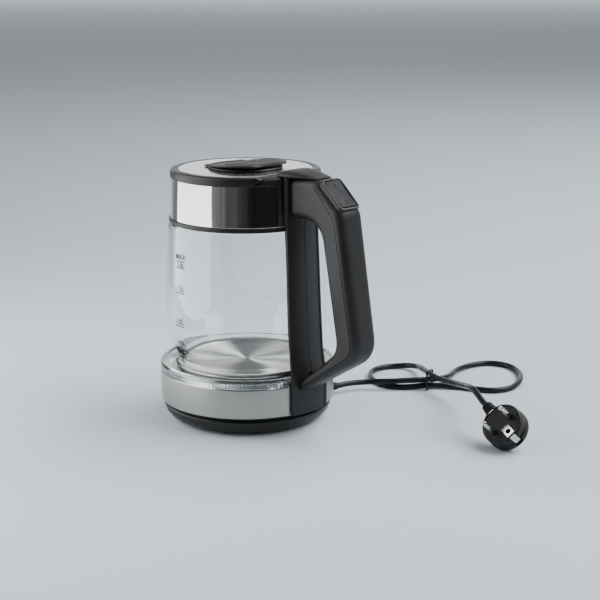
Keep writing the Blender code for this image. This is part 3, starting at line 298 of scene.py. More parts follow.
MIRROR = polished_stainless()
TURNED = lathe_turned_stainless()
BAND = band_brushed_stainless()
SHEET = sheet_brushed_stainless()
NICKEL = plain_metal("nickel_plated_brass", "#d8d6d0", "#c8c5bd", 0.2)
ZINC = plain_metal("zinc_plated_steel", "#b0b1b0", "#9c9d9c", 0.34)
BRASS = plain_metal("stamped_brass", "#cfa75c", "#b78f49", 0.3)
print("metals ready")


# %% [markdown]
# ## Clear pieces
# The jug is borosilicate glass, blown into a mould, with fire-polished walls. The
# ring under it is clear polystyrene that spreads the light of its lamps. Both bend
# light, so both are closed solids with a real wall.

# %% Glass, ring and print
def borosilicate():
    made, tree, shader, place = finish("borosilicate_glass", "#fbfdfd", 0.0, Transmission_Weight=1.0,
                                       IOR=1.47)
    raise_bump(tree, noise(tree, place, 45.0, 1.0), shader, 0.05, 0.15)
    return made


def clear_styrene():
    made, tree, shader, place = finish("clear_polystyrene", "#f0f4f5", 0.06, Transmission_Weight=1.0,
                                       IOR=1.58)
    vary(tree, noise(tree, place, 7.0), shader.inputs["Roughness"], 0.02, 0.12)
    return made


def enamel_print():
    made, tree, shader, place = finish("screen_printed_enamel", "#1c1c1e", 0.6, Specular_IOR_Level=0.05)
    tint(tree, noise(tree, place, 1.2), shader, "#161618", "#262628")
    return made


def solder_mask():
    made, tree, shader, place = finish("board_solder_mask", "#1d5a33", 0.35)
    tint(tree, noise(tree, place, 3.0), shader, "#1a5230", "#236a3d")
    return made


GLASS = borosilicate()
STYRENE = clear_styrene()
PRINT = enamel_print()
BOARD = solder_mask()
print("clear pieces ready")


# %% [markdown]
# ## The room
# A pale floor, a wide soft light overhead, a tall softbox on the left that stands on
# the floor, a weak card on the right and a large card far behind. Polished steel shows
# its surroundings, so two dark flags, a wide one on the camera's side and a narrow one
# on the left, turn most of the collar dark. Only reflections see the flags. They also
# glow faintly, brighter towards -X and streaked upright: a painted reflection that the
# collar and band show as a grey gradient.

# %% Floor, flags and lights
def floor_finish():
    made, tree, shader, place = finish("matt_paper", "#cbd3d8", 0.85)
    tint(tree, noise(tree, place, 420.0), shader, "#c9d1d6", "#ced6db")
    return made


def painted_reflection_flag_finish():
    made, tree, shader, place = finish("dark_flag", "#0a0a0a", 1.0, Specular_IOR_Level=0.0)
    # The emission is a painted reflection: a glow that fades from -X to +X and is streaked upright, seen in the
    # steel as a grey gradient.
    parts = add(tree, "ShaderNodeSeparateXYZ", {0: place})
    reflection_fade = add(tree, "ShaderNodeMapRange", {"Value": parts.outputs[0], "From Min": -0.05, "From Max": 0.5,
                                             "To Min": 0.27, "To Max": 0.012})
    reflection_streak = noise(tree, place, 60.0, 3.0, (1, 1, 0.04))
    glow = reckon(tree, "MULTIPLY", reckon(tree, "MULTIPLY", reflection_fade.outputs[0], reflection_streak), 2.0)
    shader.inputs["Emission Color"].default_value = linear("#f5f6f9")
    tree.links.new(glow, shader.inputs["Emission Strength"])
    return made


def stage_mesh(name, corners, faces, material):
    mesh = bpy.data.meshes.new(name)
    mesh.from_pydata(corners, [], faces)
    mesh.materials.append(material)
    obj = bpy.data.objects.new(name, mesh)
    bpy.context.scene.collection.objects.link(obj)
    return obj


FLOOR_HALF = 20.0
stage_mesh("floor", [(-FLOOR_HALF, -FLOOR_HALF, 0), (FLOOR_HALF, -FLOOR_HALF, 0),
                     (FLOOR_HALF, FLOOR_HALF, 0),
                     (-FLOOR_HALF, FLOOR_HALF, 0)], [(0, 1, 2, 3)], floor_finish())

FLAG_RADIUS, FLAG_HEIGHT = 0.62, 1.1
DARK = painted_reflection_flag_finish()


def dark_flag(name, first, last):
    """An upright curved card between two azimuths, seen by reflections only."""
    count = 20
    turn = [radians(first + (last - first) * i / count) for i in range(count + 1)]
    low = [(FLAG_RADIUS * cos(a), FLAG_RADIUS * sin(a), 0.002) for a in turn]
    high = [(x, y, FLAG_HEIGHT) for x, y, _ in low]
    faces = [(i, i + 1, i + count + 2, i + count + 1) for i in range(count)]
    flag = stage_mesh(name, low + high, faces, DARK)
    flag.visible_camera = False
    flag.visible_diffuse = False
    flag.visible_shadow = False
    flag.visible_transmission = False


dark_flag("dark_flag_right", -93, 27)
dark_flag("dark_flag_left", -184, -167)


def softbox(name, at, towards, width, height, power, colour):
    light = bpy.data.lights.new(name, "AREA")
    light.shape = "RECTANGLE"
    light.size, light.size_y = width, height
    light.energy = power
    light.color = linear(colour)[:3]
    obj = bpy.data.objects.new(name, light)
    aim = Vector(towards) - Vector(at)
    obj.matrix_world = Matrix.Translation(at) @ aim.to_track_quat("-Z", "Y").to_matrix().to_4x4()
    obj.visible_camera = False
    bpy.context.scene.collection.objects.link(obj)


softbox("left_softbox", (-0.338, -0.403, 0.46), (0.0, 0.0, 0.46), 0.76, 0.90, 7.5, "#ffffff")
softbox("overhead", (0.9, 1.5, 2.4), (0.15, 0.35, 0.0), 2.6, 2.0, 116.0, "#f6faff")
softbox("back_card", (-10.8, 11.2, 3.3), (0.0, 0.0, 0.25), 19.0, 6.0, 540.0, "#f7fafd")
softbox("right_card", (1.5, 0.5, 1.15), (0.1, 0.0, 0.12), 1.0, 1.2, 15.0, "#ffffff")

room = bpy.data.worlds.new("room")
room.use_nodes = True
sky = room.node_tree.nodes["Background"]
sky.inputs["Color"].default_value = linear("#c2c8ce")
sky.inputs["Strength"].default_value = 0.40
bpy.context.scene.world = room
print("room ready")


# %% [markdown]
# ## Shaping tools
# Most of the kettle is round, so most pieces are an outline turned about Z. Real edges
# are never sharp: each corner of an outline gets a small fillet, which is what catches
# a thin line of light. The handle's pieces are outlines in the XZ plane, extruded.

# %% Shaping helpers
SHARP_ANGLE = 32


def piece(name, bm, material, sharp=SHARP_ANGLE):
    """A bmesh in millimetres becomes an object in metres, shaded smooth between sharp edges."""
    bmesh.ops.remove_doubles(bm, verts=bm.verts, dist=1e-4)
    bmesh.ops.recalc_face_normals(bm, faces=bm.faces)
    mesh = bpy.data.meshes.new(name)
    bm.to_mesh(mesh)
    bm.free()
    mesh.transform(Matrix.Scale(MM, 4))
    mesh.shade_smooth()
    mesh.set_sharp_from_angle(angle=radians(sharp))
    mesh.materials.append(material)
    obj = bpy.data.objects.new(name, mesh)
    bpy.context.scene.collection.objects.link(obj)
    return obj


def soften(outline, radius, steps=3):
    """Fillets the corners of a closed outline, leaving points on the axis alone."""
    out = []
    count = len(outline)
    for i, spot in enumerate(outline):
        here = Vector(spot)
        back, ahead = Vector(outline[i - 1]) - here, Vector(outline[(i + 1) % count]) - here
        bend = pi - back.angle(ahead)
        if spot[0] == 0 or bend < radians(20):
            out.append(spot)
            continue
        run = min(radius * tan(bend / 2), back.length * 0.45, ahead.length * 0.45)
        first, last = here + back.normalized() * run, here + ahead.normalized() * run
        for step in range(steps + 1):
            t = step / steps
            out.append(tuple(first.lerp(here, t).lerp(here.lerp(last, t), t)))
    return out


def turned(name, outline, material, edge=0.4, steps=144):
    """A closed (radius, height) outline turned about Z."""
    bm = bmesh.new()
    outline = soften(outline, edge) if edge else outline
    rings = []
    for i in range(steps):
        a = 2 * pi * i / steps
        rings.append([bm.verts.new((r * cos(a), r * sin(a), z)) if r or i == 0 else rings[0][j]
                      for j, (r, z) in enumerate(outline)])
    for ring, following in zip(rings, rings[1:] + rings[:1]):
        for j in range(len(outline)):
            k = (j + 1) % len(outline)
            corners = list(dict.fromkeys((ring[j], following[j], following[k], ring[k])))
            if len(corners) > 2:
                bm.faces.new(corners)
    return piece(name, bm, material)


def skin(bm, rings):
    """Walls between closed rings of vertices with the same count, and a lid on both ends."""
    size = len(rings[0])
    for a, b in zip(rings, rings[1:]):
        for k in range(size):
            bm.faces.new((a[k], a[(k + 1) % size], b[(k + 1) % size], b[k]))
    bm.faces.new(rings[0])
    bm.faces.new(rings[-1])


def extruded(name, outline, y_from, y_to, material, edge=0.0, segments=6):
    """An (x, z) outline drawn out along Y, its two rims rounded."""
    bm = bmesh.new()
    face = bm.faces.new([bm.verts.new((x, y_from, z)) for x, z in outline])
    grown = bmesh.ops.extrude_face_region(bm, geom=[face])
    moved = [item for item in grown["geom"] if isinstance(item, bmesh.types.BMVert)]
    bmesh.ops.translate(bm, verts=moved, vec=(0, y_to - y_from, 0))
    if edge:
        rims = [e for e in bm.edges if abs(e.verts[0].co.y - e.verts[1].co.y) < 1e-6]
        bmesh.ops.bevel(bm, geom=rims, offset=edge, segments=segments, profile=0.5, affect="EDGES",
                        clamp_overlap=True)
    return piece(name, bm, material)


def ring_outline(inner, outer, low, high):
    return [(inner, low), (outer, low), (outer, high), (inner, high)]


def block(name, low, high, material, edge=0.0):
    outline = [(low[0], low[2]), (high[0], low[2]), (high[0], high[2]), (low[0], high[2])]
    return extruded(name, outline, low[1], high[1], material, edge, 3)


def set_on(obj, start, direction, across=None):
    """Moves a piece made about Z so that Z runs along direction from start."""
    turn = across or Vector((0, 0, 1)).rotation_difference(Vector(direction)).to_matrix().to_4x4()
    obj.data.transform(Matrix.Translation(Vector(start) * MM) @ turn)
    return obj


def rod(name, start, end, radius, material, steps=32, edge=0.0):
    length = (Vector(end) - Vector(start)).length
    bar = turned(name, [(0, 0), (radius, 0), (radius, length), (0, length)], material, edge, steps)
    return set_on(bar, start, Vector(end) - Vector(start))


def apply_modifiers(obj):
    mesh = bpy.data.meshes.new_from_object(obj.evaluated_get(bpy.context.evaluated_depsgraph_get()))
    obj.modifiers.clear()
    obj.data = mesh


def combine(obj, operation, tool):
    """Cuts, joins or keeps with another piece, at once, and throws the tool away."""
    step = obj.modifiers.new("combine", "BOOLEAN")
    step.operation, step.solver, step.object = operation, "EXACT", tool
    apply_modifiers(obj)
    bpy.data.objects.remove(tool)
    obj.data.shade_smooth()
    obj.data.set_sharp_from_angle(angle=radians(SHARP_ANGLE))
    return obj


def cut(obj, tool):
    return combine(obj, "DIFFERENCE", tool)


def join(obj, tool):
    return combine(obj, "UNION", tool)


refined = set()


def give(obj, body, *nodes):
    """The piece rides on a body, and stands for these CAD nodes."""
    if nodes:
        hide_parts(*nodes)
        refined.update(nodes)
    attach(obj, body)
    return obj


print("shaping tools ready")


# %% [markdown]
# ## The mains lead
# The lead leaves the base through its strain relief, passes the tie, makes a far loop,
# passes the tie, makes a near loop, passes it a third time, and goes to the plug. Its
# line is one smooth curve through given points, because a lead has no corners.

# %% Lead
CORD_D = 5.6
EXIT_TURN = radians(77.0)
EXIT_AT = Vector((68.5 * cos(EXIT_TURN), 68.5 * sin(EXIT_TURN), 9.2))
EXIT_WAY = Vector((cos(EXIT_TURN), sin(EXIT_TURN), -0.035)).normalized()
PLUG_FACE = Vector((234.0, 78.0, 25.0))
PINS_WAY = Vector((0.02, -0.82, 0.62)).normalized()
CORD_WAY = Vector((-0.87, 0.25, 0.38))
CORD_WAY = (CORD_WAY - PINS_WAY * CORD_WAY.dot(PINS_WAY)).normalized()
SIDE_WAY = CORD_WAY.cross(PINS_WAY)
NECK_END, NECK_LEVEL = 32.0, -10.5
EARTH_HOLE_AT = -10.2
ROUTE = [
    (25.5, 110, 8.2), (30, 122, 7.8), (37.5, 131.5, 8.0), (47, 139, 8.9), (57, 148, 9.4), (67.5, 160, 9.8),
    (77.5, 173, 9.9), (82, 190, 8.6), (77, 208, 6.4), (68, 227, 4.4), (63, 246, 3.2), (64, 264, 2.9),
    (71, 279, 2.9), (86, 286, 2.9), (103, 282, 2.9), (121, 267, 2.9), (134, 246, 2.9), (139, 224, 2.9),
    (132, 207, 2.9), (116, 198, 2.9), (99, 191, 3.1), (78.5, 174, 4.0), (69, 162, 3.3), (58, 151, 2.9),
    (43, 146, 2.9), (26, 150, 2.9), (11, 162, 2.9), (3, 176, 2.9), (2.5, 191, 2.9), (8.5, 203, 3.0),
    (21, 210.5, 4.5), (37, 206.5, 7.5), (56, 190, 12.8), (78.5, 174, 15.8), (97, 165, 16.6),
    (113, 160, 18.2),
    (130, 152, 21.5), (148.6, 139, 26.5), (161, 126.5, 31.5), (172, 114.5, 36.0), (180, 107, 38.3),
    (187, 102.5, 38.4),
]


def in_plug(along_pins, along_cord, across):
    """A point in the plug's own directions, from the middle of its face."""
    return PLUG_FACE + PINS_WAY * along_pins + CORD_WAY * along_cord + SIDE_WAY * across


def smooth_line(route, count):
    """Evenly spaced points on a Catmull-Rom curve through the route."""
    points = [Vector(p) for p in route]
    points = [points[0] * 2 - points[1]] + points + [points[-1] * 2 - points[-2]]
    dense = []
    for p0, p1, p2, p3 in zip(points, points[1:], points[2:], points[3:]):
        for step in range(24):
            t = step / 24
            dense.append(0.5 * (2 * p1 + (p2 - p0) * t + (2 * p0 - 5 * p1 + 4 * p2 - p3) * t * t
                                + (3 * p1 - p0 - 3 * p2 + p3) * t ** 3))
    dense.append(points[-2])
    lengths = [0.0]
    for a, b in zip(dense, dense[1:]):
        lengths.append(lengths[-1] + (b - a).length)
    out, at = [], 0
    for i in range(count):
        want = lengths[-1] * i / (count - 1)
        while at < len(dense) - 2 and lengths[at + 1] < want:
            at += 1
        out.append(dense[at].lerp(dense[at + 1], (want - lengths[at]) / (lengths[at + 1] - lengths[at])))
    return out, lengths[-1]


lead_route = [EXIT_AT + EXIT_WAY * reach for reach in (1.0, 15.0, 33.5)]
lead_route += ROUTE + [in_plug(NECK_LEVEL, NECK_END + reach, 0) for reach in (7.0, 1.0, -7.0)]
lead_points, lead_length = smooth_line(lead_route, 320)
lead_curve = bpy.data.curves.new("mains_lead", "CURVE")
lead_curve.dimensions = "3D"
lead_curve.bevel_depth = CORD_D / 2 * MM
lead_curve.bevel_resolution = 5
lead_curve.use_fill_caps = True
lead_spline = lead_curve.splines.new("POLY")
lead_spline.points.add(len(lead_points) - 1)
for knot, spot in zip(lead_spline.points, lead_points):
    knot.co = (*(spot * MM), 1.0)
lead_curve.materials.append(LEAD_PVC)
lead = bpy.data.objects.new("mains_lead", lead_curve)
bpy.context.scene.collection.objects.link(lead)
give(lead, "base", "power_cord")
print("lead", round(lead_length), "mm")


# %% [markdown]
# ## Plug, strain relief and tie
# A side-entry plug: a round face, a stepped grip behind it, and a ribbed neck. Two
# round nickel-plated pins stand on the face, 19 mm apart, with an earth clip at each
# end of the other diameter and the hole for a socket's own earth pin beside one.

# %% Plug
PLUG_R = 18.6
plug_turn = Matrix((SIDE_WAY, CORD_WAY, PINS_WAY)).transposed().to_4x4()
plug_outline = [
    (0, -0.9), (PLUG_R - 2.6, -0.9), (PLUG_R - 2.0, 0), (PLUG_R - 1.2, 0), (PLUG_R, -1.2), (PLUG_R, -6.0),
    (PLUG_R - 1.0, -7.0), (PLUG_R - 1.0, -8.6), (PLUG_R + 0.4, -9.8), (PLUG_R + 0.4, -15.0),
    (PLUG_R - 4.0, -21.0),
    (0, -21.0),
]
plug = set_on(turned("plug_body_moulded", plug_outline, PLUG_PVC, 0.7, 96), PLUG_FACE, None, plug_turn)
neck_outline = [(0, 0), (7.4, 0), (6.6, 8.0)]
for rib in range(4):
    low = 9.0 + 2.9 * rib
    outer = 6.1 - 0.4 * rib
    neck_outline += [(outer - 1.0, low), (outer - 1.0, low + 0.9), (outer, low + 1.2), (outer, low + 2.6)]
neck_outline += [(4.2, 21.4), (0, 21.4)]
plug_neck = set_on(turned("plug_neck", neck_outline, PLUG_PVC, 0.35, 48),
                   in_plug(NECK_LEVEL, PLUG_R - 8, 0), CORD_WAY)
neck_hole = rod("neck_hole", in_plug(NECK_LEVEL, NECK_END - 8, 0), in_plug(NECK_LEVEL, NECK_END + 5, 0),
                CORD_D / 2 + 0.1, PLUG_PVC)
join(plug, plug_neck)
cut(plug, neck_hole)


def plug_block(name, centre, size, material, edge=0.0):
    """A block in the plug's own directions: across, along the lead, along the pins."""
    half = [s / 2 for s in size]
    return set_on(block(name, [-h for h in half], half, material, edge), centre, None, plug_turn)


for side in (-1, 1):
    cut(plug, plug_block("clip_slot", in_plug(-6, side * (PLUG_R - 1.1), 0), (7.4, 3.2, 16), PLUG_PVC))
cut(plug, rod("earth_hole", in_plug(-9, EARTH_HOLE_AT, 0), in_plug(3, EARTH_HOLE_AT, 0), 2.5, PLUG_PVC, 40))
give(plug, "base", "plug_body")

earth_plate = plug_block("plug_earth_plate", in_plug(-0.75, -9.4, 0), (7.6, 10.4, 0.5), NICKEL, 0.12)
cut(earth_plate, rod("plate_hole", in_plug(-4, EARTH_HOLE_AT, 0), in_plug(3, EARTH_HOLE_AT, 0), 2.4,
                     NICKEL, 40))
give(earth_plate, "base")

lead_pieces = [plug, earth_plate]
for i, side in enumerate((-1, 1)):
    clip = plug_block(f"plug_clip_{i + 1}", in_plug(-7.6, side * (PLUG_R - 1.6), 0), (5.6, 1.0, 14.2),
                      NICKEL, 0.3)
    give(clip, "base", f"plug_earth_clip_{i + 1}")
    pin_outline = [(0, 0), (2.35, 0), (2.35, 18.5), (2.0, 19.6)]
    pin_outline += [(2.0 * cos(a), 22.7 + 2.0 * sin(a)) for a in map(radians, (0, 30, 60))] + [(0, 24.7)]
    pin = set_on(turned(f"plug_round_pin_{i + 1}", pin_outline, NICKEL, 0, 40),
                 in_plug(-5.7, 0, side * 9.5), PINS_WAY)
    give(pin, "base", f"plug_pin_{i + 1}")
    collar = set_on(turned(f"pin_collar_{i + 1}", [(2.45, -1.0), (3.6, -1.0), (3.2, 0.5), (2.45, 0.5)],
                           PLUG_PVC, 0.2, 40),
                    in_plug(0, 0, side * 9.5), PINS_WAY)
    give(collar, "base")
    lead_pieces += [clip, pin, collar]
print("plug with", len(lead_pieces), "pieces")


# %% Strain relief and tie
relief_bore, relief_root, relief_end = CORD_D / 2 + 0.12, CORD_D / 2 + 1.9, 33.0
relief_outline = [(relief_bore, 0), (relief_root, 0), (relief_root, 10.2)]
RELIEF_RIBS = 6
for rib in range(RELIEF_RIBS):
    low = 10.2 + (relief_end - 10.2) * rib / RELIEF_RIBS
    wide = relief_root - 1.0 * rib / RELIEF_RIBS
    relief_outline += [(wide, low + 0.2), (wide - 0.12, low + 2.5), (wide - 0.85, low + 2.7),
                       (wide - 0.85, low + 3.6)]
relief_outline += [(relief_bore + 0.5, relief_end), (relief_bore, relief_end)]
relief = set_on(turned("cord_strain_relief", relief_outline, PLUG_PVC, 0.25, 48), EXIT_AT, EXIT_WAY)
give(relief, "base", "strain_relief")

TIE_AT, TIE_TURN = Vector((78.2, 173.7, 0)), radians(-73.0)
tie_low, tie_high = 0.9, 18.9


def stadium(half, low, high, radius, steps=6):
    """A closed rounded rectangle in x and z."""
    out = []
    for cx, cz, start in ((half, low, -90), (half, high, 0), (-half, high, 90), (-half, low, 180)):
        centre = (cx - radius if cx > 0 else cx + radius,
                  cz + radius if start in (-90, 180) else cz - radius)
        out += [(centre[0] + radius * cos(radians(start + 90 * s / steps)),
                 centre[1] + radius * sin(radians(start + 90 * s / steps))) for s in range(steps + 1)]
    return out


tie = extruded("twist_tie", stadium(7.6, tie_low - 0.7, tie_high + 0.7, 3.4), -1.0, 1.0, LEAD_PVC, 0.25, 2)
cut(tie, extruded("tie_hole", stadium(7.0, tie_low - 0.1, tie_high + 0.1, 3.0), -3, 3, LEAD_PVC))
set_on(tie, TIE_AT, None, Matrix.Rotation(TIE_TURN, 4, "Z"))
give(tie, "base", "cord_tie")
print("relief and tie ready")


# %% [markdown]
# ## The power base
# A round ABS cover that curves in to the floor, with a raised hub for the contacts.
# Each size is read from the CAD node it stands for, so the two always agree.

# %% Base
low, high = span("base_top_cover")
base_r, base_top, base_low = high.x, high.z, low.z
hub_low, hub_high = span("base_socket")
hub_r = hub_high.x
floor_r = span("base_bottom_plate")[1].x + 0.3
cover = turned("base_cover", [
    (hub_r + 0.3, base_top), (base_r - 1.6, base_top), (base_r, base_top - 1.5), (base_r - 0.25, 12.2),
    (base_r - 1.6, 8.6),
    (base_r - 4.4, 5.2), (base_r - 9.5, 2.2), (floor_r, base_low), (floor_r, base_low + 2.0),
    (base_r - 9.5, 4.8),
    (base_r - 5.6, 8.0), (base_r - 2.4, base_top - 2.4), (hub_r + 0.3, base_top - 2.4)], ABS, 1.2, 180)
cut(cover, rod("relief_way", EXIT_AT - EXIT_WAY * 3, EXIT_AT + EXIT_WAY * 17, 5.0, ABS, 40))
give(cover, "base", "base_top_cover")

slot_middle = span("connector_ring")[1].x - 0.45
slot_in, slot_out = slot_middle - 1.4, slot_middle + 1.4
hub = turned("base_hub", [
    (2.9, hub_high.z - 0.8), (3.7, hub_high.z), (slot_in - 0.5, hub_high.z), (slot_in, hub_high.z - 0.5),
    (slot_in, 13.5),
    (slot_out, 13.5), (slot_out, hub_high.z - 0.5), (slot_out + 0.5, hub_high.z), (hub_r - 1.2, hub_high.z),
    (hub_r, hub_high.z - 1.2), (hub_r, hub_low.z), (hub_r - 2.0, hub_low.z), (hub_r - 2.0, 11.0),
    (2.9, 11.0)],
    ABS, 0.3, 96)
give(hub, "base", "base_socket")
print("base radius", round(base_r, 1), "mm")


# %% [markdown]
# ## The kettle's foot
# The foot stacks a black cover, a brushed steel band and a clear ring. Behind the
# ring's wall stand small upright prisms that spread the lamps' light. They repeat
# round a circle, which is a job for Geometry Nodes: one prism, one circle of points.

# %% Foot
band_low, band_high = span("lower_band")
body_r = band_high.x
foot_low = span("kettle_bottom_cover")[0]
foot = turned("kettle_foot", [
    (18.5, 20.0), (72.0, 20.0), (74.0, foot_low.z), (76.4, foot_low.z), (77.8, 18.2), (body_r - 2.3, 18.4),
    (body_r - 2.3, band_low.z - 0.35), (body_r - 1.5, band_low.z + 0.4), (body_r - 1.5, 43.0), (76.9, 43.0),
    (76.9, 22.2), (18.5, 22.2)], ABS, 0.4, 180)
give(foot, "jug", "kettle_bottom_cover")
band = turned("lower_steel_band", [
    (body_r - 1.2, band_low.z), (body_r - 0.3, band_low.z), (body_r, band_low.z + 0.5),
    (body_r, band_high.z - 0.5),
    (body_r - 0.3, band_high.z), (body_r - 1.2, band_high.z)], BAND, 0.3, 192)
give(band, "jug", "lower_band")

ring_foot, ring_top = span("light_ring")[0].z, span("light_ring")[1].z
clear_ring = turned("light_ring_lens", [
    (66.0, ring_foot + 4.4), (74.0, ring_foot + 4.4), (76.6, ring_foot), (body_r - 0.4, ring_foot),
    (body_r, ring_foot + 0.6),
    (body_r, ring_top - 1.6), (body_r - 1.2, ring_top), (body_r - 4.0, ring_top),
    (body_r - 5.0, ring_top - 1.0),
    (66.0, ring_top - 1.0)], STYRENE, 0.5, 192)
give(clear_ring, "jug", "light_ring")


def new_tree(name, **sizes):
    """A Geometry Nodes tree with named inputs, and those inputs' sockets."""
    tree = bpy.data.node_groups.new(name, "GeometryNodeTree")
    tree.interface.new_socket("Geometry", in_out="OUTPUT", socket_type="NodeSocketGeometry")
    for label, kind in sizes.items():
        tree.interface.new_socket(label, in_out="INPUT", socket_type=f"NodeSocket{kind}")
    return tree, add(tree, "NodeGroupInput").outputs


def dressed(tree, shape, material):
    """Ends a tree: its shape goes out as real geometry in one material."""
    real = add(tree, "GeometryNodeRealizeInstances", {0: shape.outputs[0]})
    coated = add(tree, "GeometryNodeSetMaterial", {"Geometry": real.outputs[0], "Material": material})
    add(tree, "NodeGroupOutput", {0: coated.outputs[0]})
    return tree


def grown(name, tree, values, material):
    """Runs a tree on an empty object and keeps its result as a plain mesh."""
    obj = bpy.data.objects.new(name, bpy.data.meshes.new(name))
    bpy.context.scene.collection.objects.link(obj)
    run = obj.modifiers.new("grow", "NODES")
    run.node_group = tree
    for item in tree.interface.items_tree:
        if item.in_out == "INPUT" and item.name in values:
            run[item.identifier] = values[item.name]
    apply_modifiers(obj)
    obj.data.materials.clear()
    obj.data.materials.append(material)
    return obj


def prism_circle():
    """One three-sided prism, stood on each point of a circle."""
    tree, given = new_tree("prism_circle", Count="Int", Radius="Float", Height="Float", Width="Float",
                           Level="Float")
    circle = add(tree, "GeometryNodeMeshCircle", {"Vertices": given["Count"], "Radius": given["Radius"]})
    prism = add(tree, "GeometryNodeMeshCylinder", {"Vertices": 3, "Radius": given["Width"],
                                                   "Depth": given["Height"]})
    place = add(tree, "GeometryNodeInputPosition")
    turn = add(tree, "FunctionNodeAlignRotationToVector", {"Vector": place.outputs[0]}, axis="X")
    stood = add(tree, "GeometryNodeInstanceOnPoints",
                {"Points": circle.outputs[0], "Instance": prism.outputs[0],
                                                       "Rotation": turn.outputs[0]})
    rise = add(tree, "ShaderNodeCombineXYZ", {2: given["Level"]})
    lifted = add(tree, "GeometryNodeTranslateInstances",
                 {"Instances": stood.outputs[0], "Translation": rise.outputs[0]})
    return dressed(tree, lifted, STYRENE)


PRISM_SIZES = {"Count": 150, "Radius": 0.0736, "Height": 0.0040, "Width": 0.0016, "Level": (ring_foot + 2.1) * MM}
prisms = grown("light_ring_prisms", prism_circle(), PRISM_SIZES, STYRENE)
give(prisms, "jug")
print("prisms:", len(prisms.data.polygons) // 5)


# %% Plate, seals and connector
plate_low, plate_high = span("heating_plate")
plate_r = plate_high.x
plate = turned("heating_plate_turned", [
    (0, plate_low.z), (plate_r, plate_low.z), (plate_r, plate_high.z - 0.5),
    (plate_r - 1.2, plate_high.z - 0.1),
    (plate_r - 4.0, plate_high.z), (plate_r - 7.0, plate_high.z), (plate_r - 8.0, plate_high.z - 0.3),
    (0, plate_high.z - 0.3)],
    TURNED, 0.3, 160)
give(plate, "jug", "heating_plate")
seal_low, seal_high = span("plate_seal")
seal = turned("plate_seal_ring", ring_outline(seal_high.x - 3.4, seal_high.x, seal_low.z, seal_high.z),
              SILICONE,
              0.3)
give(seal, "jug", "plate_seal")
cup_low, cup_high = span("connector_housing")
cup_r = cup_high.x
cup = turned("connector_cup", [
    (2.6, 25.6), (cup_r - 2.4, 25.6), (cup_r - 2.4, cup_low.z + 0.8), (cup_r - 1.6, cup_low.z),
    (cup_r, cup_low.z),
    (cup_r, cup_high.z), (2.6, cup_high.z)], ABS, 0.3, 96)
give(cup, "jug", "connector_housing")
print("plate radius", round(plate_r, 1), "mm")


# %% [markdown]
# ## The glass jug
# The wall is 3 mm thick and closes on itself at the top and the foot, where the glass
# is thicker and rounded. Glass shows by its two skins: without the inner one, the jug
# would look like a solid block.

# %% Jug
glass_low, glass_high = span("glass_jug")
belly_r = glass_high.x
glass_outer = [
    (64.1, glass_low.z), (64.5, 58.5), (65.2, 63.0), (67.3, 69.2), (70.0, 74.2), (72.0, 78.5), (73.3, 83.0),
    (belly_r, 88.0), (73.9, 93.0), (73.6, 98.0), (72.9, 122.0), (71.8, 154.0), (70.9, 170.0),
    (70.6, 175.0), (70.3, 179.5),
    (69.3, 182.2), (67.6, 183.6), (66.2, 184.8), (66.2, glass_high.z)]
glass_inner = [(r - 3.0, z) for r, z in glass_outer]
glass_inner[0] = (60.6, glass_low.z)
glass_inner[1] = (60.4, 60.0)
glass_inner[2] = (62.0, 63.6)
jug = turned("glass_jug_blown", glass_outer + glass_inner[::-1], GLASS, 0.9, 192)
give(jug, "jug", "glass_jug")


def wall_radius(z):
    """The jug's outer radius at a height."""
    for (r0, z0), (r1, z1) in zip(glass_outer, glass_outer[1:]):
        if z0 <= z <= z1:
            return r0 + (r1 - r0) * (z - z0) / (z1 - z0)
    return belly_r


# %% [markdown]
# ## The level marks
# Generic fill levels are printed on the glass. Flat letters are bent round the wall:
# their x becomes an angle and their y a height.

# %% Marks
MARK_TURN = radians(-97.7)


def lie_on_glass(bm, z):
    """Bends flat shapes drawn in millimetres round the jug's wall, just clear of it."""
    for vert in bm.verts:
        u, v, out = vert.co
        height = z + v
        reach = wall_radius(height) + 0.22 + out
        a = MARK_TURN + u / reach
        vert.co = (reach * cos(a), reach * sin(a), height)


def put_mark(name, bm, z):
    lie_on_glass(bm, z)
    mark = piece(name, bm, PRINT)
    give(mark, "jug")


def printed_word(name, text, size, z):
    curve = bpy.data.curves.new(name, "FONT")
    curve.body, curve.size, curve.align_x, curve.align_y = text, size, "CENTER", "CENTER"
    curve.extrude = 0.05
    curve.offset = 0.09
    word = bpy.data.objects.new(name, curve)
    bm = bmesh.new()
    bm.from_mesh(word.to_mesh())
    word.to_mesh_clear()
    bpy.data.objects.remove(word)
    put_mark(name, bm, z)


def printed_bar(name, z, width=13.0, height=0.8):
    bm = bmesh.new()
    bmesh.ops.create_cube(bm, size=1.0, matrix=Matrix.Diagonal((width, height, 0.06, 1.0)))
    long_edges = [e for e in bm.edges if abs(e.verts[0].co.x - e.verts[1].co.x) > 1]
    bmesh.ops.subdivide_edges(bm, edges=long_edges, cuts=6)
    put_mark(name, bm, z)


LETTER = 7.0
printed_word("mark_max", "MAX", LETTER, 157.5)
printed_bar("mark_bar_20", 153.6)
printed_word("mark_20", "2.0L", LETTER, 149.6)
for label, litres, level in (("1.5L", "15", 129.1), ("1.0L", "10", 99.1), ("0.5L", "05", 78.2)):
    printed_word(f"mark_{litres}", label, LETTER, level)
    printed_bar(f"mark_bar_{litres}", level - 3.9)
printed_word("mark_min", "MIN", LETTER - 0.6, 70.6)
print("marks at", round(degrees(MARK_TURN)), "degrees")


# %% [markdown]
# ## Collar and spout
# A moulded ring closes the jug's neck. Above it stands the polished band, and inside
# that the liner that carries the lid, the filter and the steam's way to the switch.

